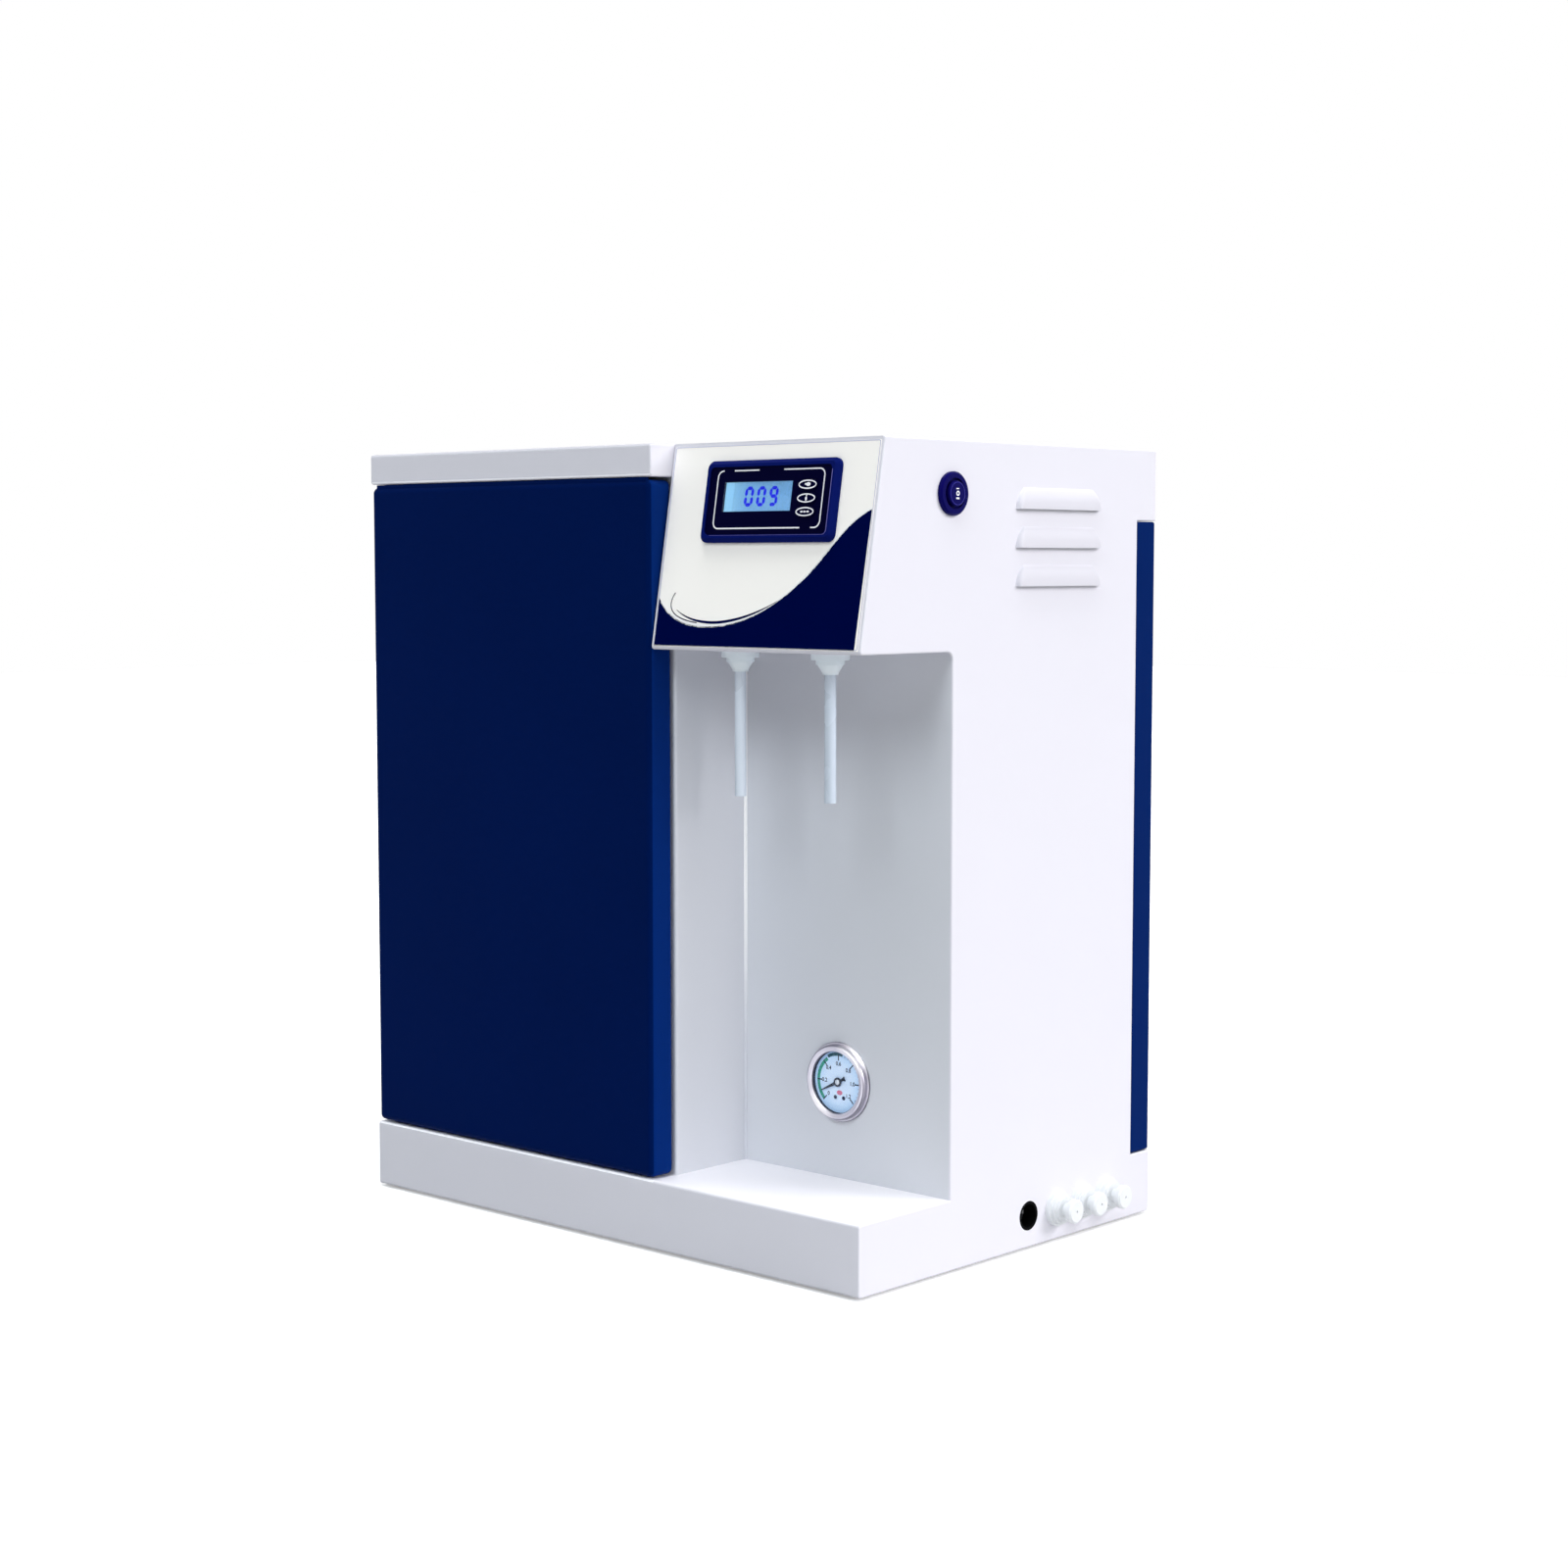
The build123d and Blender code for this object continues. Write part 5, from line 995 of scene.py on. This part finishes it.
# %% Switch print
switch_face = make_place((side_right, -64.0, 468.2), (0, 1, 0), (0, 0, 1))
button_front = 4.6
switch_marks = ((1.3, 2.6, 3.1), (1.5, -3.3, -2.3))
rim_highlight_ink = finish("painted_rim_highlight", ink(58, 54, 160), 0.5, grain=0.35, depth=0.003, drift=0.03, specular=0.1)


def make_switch_print():
    """Fine painted highlight near the rim, then a dash, a ring and a bar above each other."""
    rim = band(oval((0, 0), 6.6, 96), 0.14, closed=True)
    print_grids("switch_rim_highlight", switch_face, button_front, [rim], rim_highlight_ink, "switch_button",
                closed=True)
    ring = band(oval((0.2, 0.1), 1.15, 48), ring_half_width, closed=True)
    print_grids("switch_ring", switch_face, button_front, [ring], grey_ink, "switch_button",
                closed=True)
    marks = [np.array([(-x, low), (x, low), (x, high), (-x, high)]) for x, low, high in switch_marks]
    print_shapes("switch_marks", switch_face, button_front, marks, grey_ink, "switch_button")


make_switch_print()
print("switch printed")

# %% [markdown]
# ## The gauge
#
# The dial has a green arc for the working range with a darker stretch at its top, ticks every forty five
# degrees with four fine ones between, and a small red mark. All of them are bands along arcs and rays.

# %% Dial print
dial = make_place(gauge_centre, (1, 0, 0), (0, 0, 1))
dial_height = 1.2
zero_angle = 225.0
tick_step = 45.0
scale_numbers = 7
fine_ticks = 31         # five to each step of the scale
scale_rim = 17.4
green_ink = finish("green_ink", ink(52, 170, 140), 0.5, grain=0.35, depth=0.002, drift=0.06, specular=0.1)
teal_ink = finish("teal_ink", ink(14, 92, 104), 0.5, grain=0.35, depth=0.002, drift=0.06, specular=0.1)
red_ink = finish("red_ink", ink(236, 130, 158), 0.5, grain=0.35, depth=0.002, drift=0.06, specular=0.1)
dial_ink = finish("dial_black_ink", ink(12, 22, 52), 0.5, grain=0.35, depth=0.002, drift=0.06, specular=0.1)


def make_tick(angle, inner, half_width):
    """Short radial band from an inner radius to the scale's rim, at an angle in degrees."""
    way = np.array([math.cos(math.radians(angle)), math.sin(math.radians(angle))])
    return band(np.outer(np.linspace(inner, scale_rim, 3), way), half_width)


def make_dial_marks():
    """Green and teal arcs as bands on a circle, ticks as short radial bands, and a red mark as an ellipse."""
    green = band(arc((0, 0), 16.3, 123.0, 225.0, 70)[::-1], 1.1)
    print_grids("dial_green_arc", dial, dial_height, [green], green_ink, "housing")
    deep = band(arc((0, 0), 17.4, 79.0, 120.0, 40)[::-1], 1.05)
    print_grids("dial_deep_arc", dial, dial_height, [deep], teal_ink, "housing")
    ticks = []
    for number in range(scale_numbers):
        ticks.append(make_tick(zero_angle - tick_step * number, 13.4, 0.40))
    for number in range(fine_ticks):
        ticks.append(make_tick(zero_angle - tick_step / 5 * number, 16.4, 0.12))
    print_grids("dial_ticks", dial, dial_height + ink_thickness, ticks, dial_ink, "housing")
    mark = oval((1.0, -6.6), (2.3, 1.5), 40)
    print_shapes("dial_red_mark", dial, dial_height, [mark], red_ink, "housing")
    return len(ticks)


print("ticks:", make_dial_marks())

# %% [markdown]
# ## Numbers on the dial
#
# The numbers are the only lettering. Each is set as text, turned into a flat mesh, and its points are
# carried to the dial, so that the finished piece is one mesh like every other print.

# %% Dial numbers
number_circle = 11.4
number_size = 3.5


def make_number(text, centre, size):
    """Text as a flat mesh, centred, then carried to the dial. Returns its points and faces."""
    font = bpy.data.curves.new("dial_number", "FONT")
    font.body = text
    font.size = size
    font.offset = 0.09
    font.align_x = "CENTER"
    font.align_y = "CENTER"
    holder = bpy.data.objects.new("dial_number", font)
    bpy.context.scene.collection.objects.link(holder)
    bpy.context.view_layer.update()
    flat = bpy.data.meshes.new_from_object(holder.evaluated_get(bpy.context.evaluated_depsgraph_get()))
    points = np.zeros(len(flat.vertices) * 3)
    flat.vertices.foreach_get("co", points)
    faces = [list(polygon.vertices) for polygon in flat.polygons]
    bpy.data.objects.remove(holder)
    bpy.data.meshes.remove(flat)
    return points.reshape(-1, 3)[:, :2] + np.array(centre), faces


def make_numbers():
    """Seven plain numbers round the dial, in one piece."""
    points, faces, count = [], [], 0
    for number in range(scale_numbers):
        angle = math.radians(zero_angle - tick_step * number)
        centre = (number_circle * math.cos(angle), number_circle * math.sin(angle))
        flat, corners = make_number(f"{number * 0.2:.1f}".replace("0.0", "0"), centre, number_size)
        points.append(carry(dial, flat, dial_height + ink_stand))
        faces += [[corner + count for corner in one] for one in corners]
        count += len(flat)
    piece = add_piece("dial_numbers", np.concatenate(points), faces, dial_ink, "housing")
    thicken(piece, ink_thickness)
    return len(faces)


print("number faces:", make_numbers())

# %% [markdown]
# ## Turned pieces of the gauge
#
# Two dark screws hold the dial. A dark sleeve lines the case between the dial and the lens and shows as a
# crescent from the side; it is painted shade for the case's shaded inner wall. A pale cap covers the spindle
# and rides on the pointer. All of them are turned pieces: a profile of radius and height, carried round an
# axis. One function does that and closes the poles.

# %% Sleeve, screws and spindle cap
screw_and_painted_shade_finish = finish("dark_screws_and_painted_shade_sleeve", ink(6, 10, 46), 0.5, grain=0.8, depth=0.004, drift=0.1, specular=0.1)
cap_finish = finish("spindle_cap", ink(226, 232, 240), 0.3, grain=0.4, depth=0.002, drift=0.03, metallic=0.3)


def turn_piece(name, place, profile, steps, material, body, ring):
    """Turns a profile of (radius, height) round the place's axis. A ring's profile closes on itself."""
    profile = np.asarray(profile, float)
    angle = np.linspace(0.0, 2 * math.pi, steps, endpoint=False)
    circle = np.stack([np.cos(angle), np.sin(angle)], axis=1)
    points = carry(place, profile[:, :1, None] * circle[None], np.repeat(profile[:, 1:], steps, axis=1))
    faces = grid_faces(len(profile), steps, close_rows=ring, close_columns=True).tolist()
    piece = add_piece(name, points, faces, material, body)
    shape = bmesh.new()
    shape.from_mesh(piece.data)
    bmesh.ops.remove_doubles(shape, verts=shape.verts, dist=1e-7)
    bmesh.ops.recalc_face_normals(shape, faces=shape.faces)
    shape.to_mesh(piece.data)
    shape.free()
    piece.data.shade_smooth()
    return piece


sleeve_profile = [(19.44, 1.25), (19.26, 1.25), (19.26, 2.75), (19.44, 2.75)]
screw_profile = [(0.0, 1.22), (1.25, 1.22), (1.25, 1.45), (1.0, 1.6), (0.0, 1.64)]
cap_profile = [(0.0, 2.42), (1.7, 2.42), (1.7, 2.5), (1.3, 2.62), (0.7, 2.7), (0.0, 2.72)]
turn_piece("gauge_painted_shade_sleeve", dial, sleeve_profile, 96, screw_and_painted_shade_finish, "housing", True)
for screw_name, aside in (("dial_screw_left", -2.4), ("dial_screw_right", 4.4)):
    spot = make_place(gauge_centre + np.array([aside, 0.0, -9.7]), (1, 0, 0), (0, 0, 1))
    turn_piece(screw_name, spot, screw_profile, 32, screw_and_painted_shade_finish, "housing", False)
turn_piece("pointer_cap", dial, cap_profile, 48, cap_finish, "pointer", False)
print("gauge finished")

# %% [markdown]
# ## A painted highlight in the niche's corner
#
# The niche's left wall and back wall meet in a fold that is filled with a fine bead, a quarter of a round
# bar that turns from facing right to facing the front. Its white is a painted highlight: bright above, fading
# to the coat's own tone towards the deck.

# %% Niche bead with a painted highlight
bead_corner = (49.5, -62.0)
bead_radius = 1.5
bead_span = (45.7, 374.8)
highlight_fade = (110.0, 230.0)
bead_highlight_coat = finish("bead_painted_highlight", ink(212, 214, 222), 0.35, grain=0.8, depth=0.004, drift=0.01, specular=0.5)
bead_highlight_finish = retone(bead_highlight_coat, "Z", highlight_fade[0], highlight_fade[1], ink(255, 255, 255))


def make_bead():
    """Quarter round along the corner: its section bulges out of it, and both of its ends are closed."""
    turn = np.radians(np.linspace(0.0, 90.0, 9))
    round_side = np.stack([np.cos(turn), -np.sin(turn)], axis=1) * bead_radius
    section = np.concatenate([round_side + bead_corner, [bead_corner]])
    rows = [np.column_stack([section, np.full(len(section), height)]) for height in bead_span]
    points = np.stack(rows) * mm
    count = len(section)
    faces = grid_faces(2, count, close_columns=True).tolist()
    faces += [list(range(count)), list(range(2 * count - 1, count - 1, -1))]
    piece = add_piece("niche_highlight_bead", points, faces, bead_highlight_finish, "housing")
    shape = bmesh.new()
    shape.from_mesh(piece.data)
    bmesh.ops.recalc_face_normals(shape, faces=shape.faces)
    shape.to_mesh(piece.data)
    shape.free()


make_bead()
print("bead", bead_radius, "mm")

# %% [markdown]
# ## Painted highlights on the folds above and below the door
#
# Where the cap and the base are folded, a fine light line along the door is a painted highlight with a
# faint glow. Each line is a part of a round bar's skin that lies on the fold.

# %% Fold highlights
fold_radius = 2.0
fold_stand = 0.04
cap_low = 480.0
fold_span = (-216.5, 49.0)
fold_highlight_finish = finish("painted_fold_highlight", ink(250, 250, 255), 0.4, grain=0.8, depth=0.004, drift=0.01, specular=0.3,
                     Emission_Color=ink(240, 242, 255), Emission_Strength=0.12)


def make_fold_highlight(name, axis_height, first, last):
    """Skin of a bar round a fold's axis, between two angles counted upwards from the front."""
    angle = np.radians(np.linspace(first, last, 9))
    skin = fold_radius + fold_stand
    along = np.array(fold_span[::-1])[:, None]
    depth = housing_front + fold_radius - skin * np.cos(angle)
    height = axis_height + skin * np.sin(angle)
    points = np.stack(np.broadcast_arrays(along, depth, height), axis=-1) * mm
    piece = add_piece(name, points, grid_faces(2, len(angle)).tolist(), fold_highlight_finish, "housing")
    thicken(piece, ink_thickness)
    return piece


make_fold_highlight("base_fold_highlight", deck_top - fold_radius, 25.0, 70.0)
make_fold_highlight("cap_fold_highlight", cap_low + fold_radius, -40.0, -8.0)
print("fold lines from", fold_span[0], "to", fold_span[1], "mm")
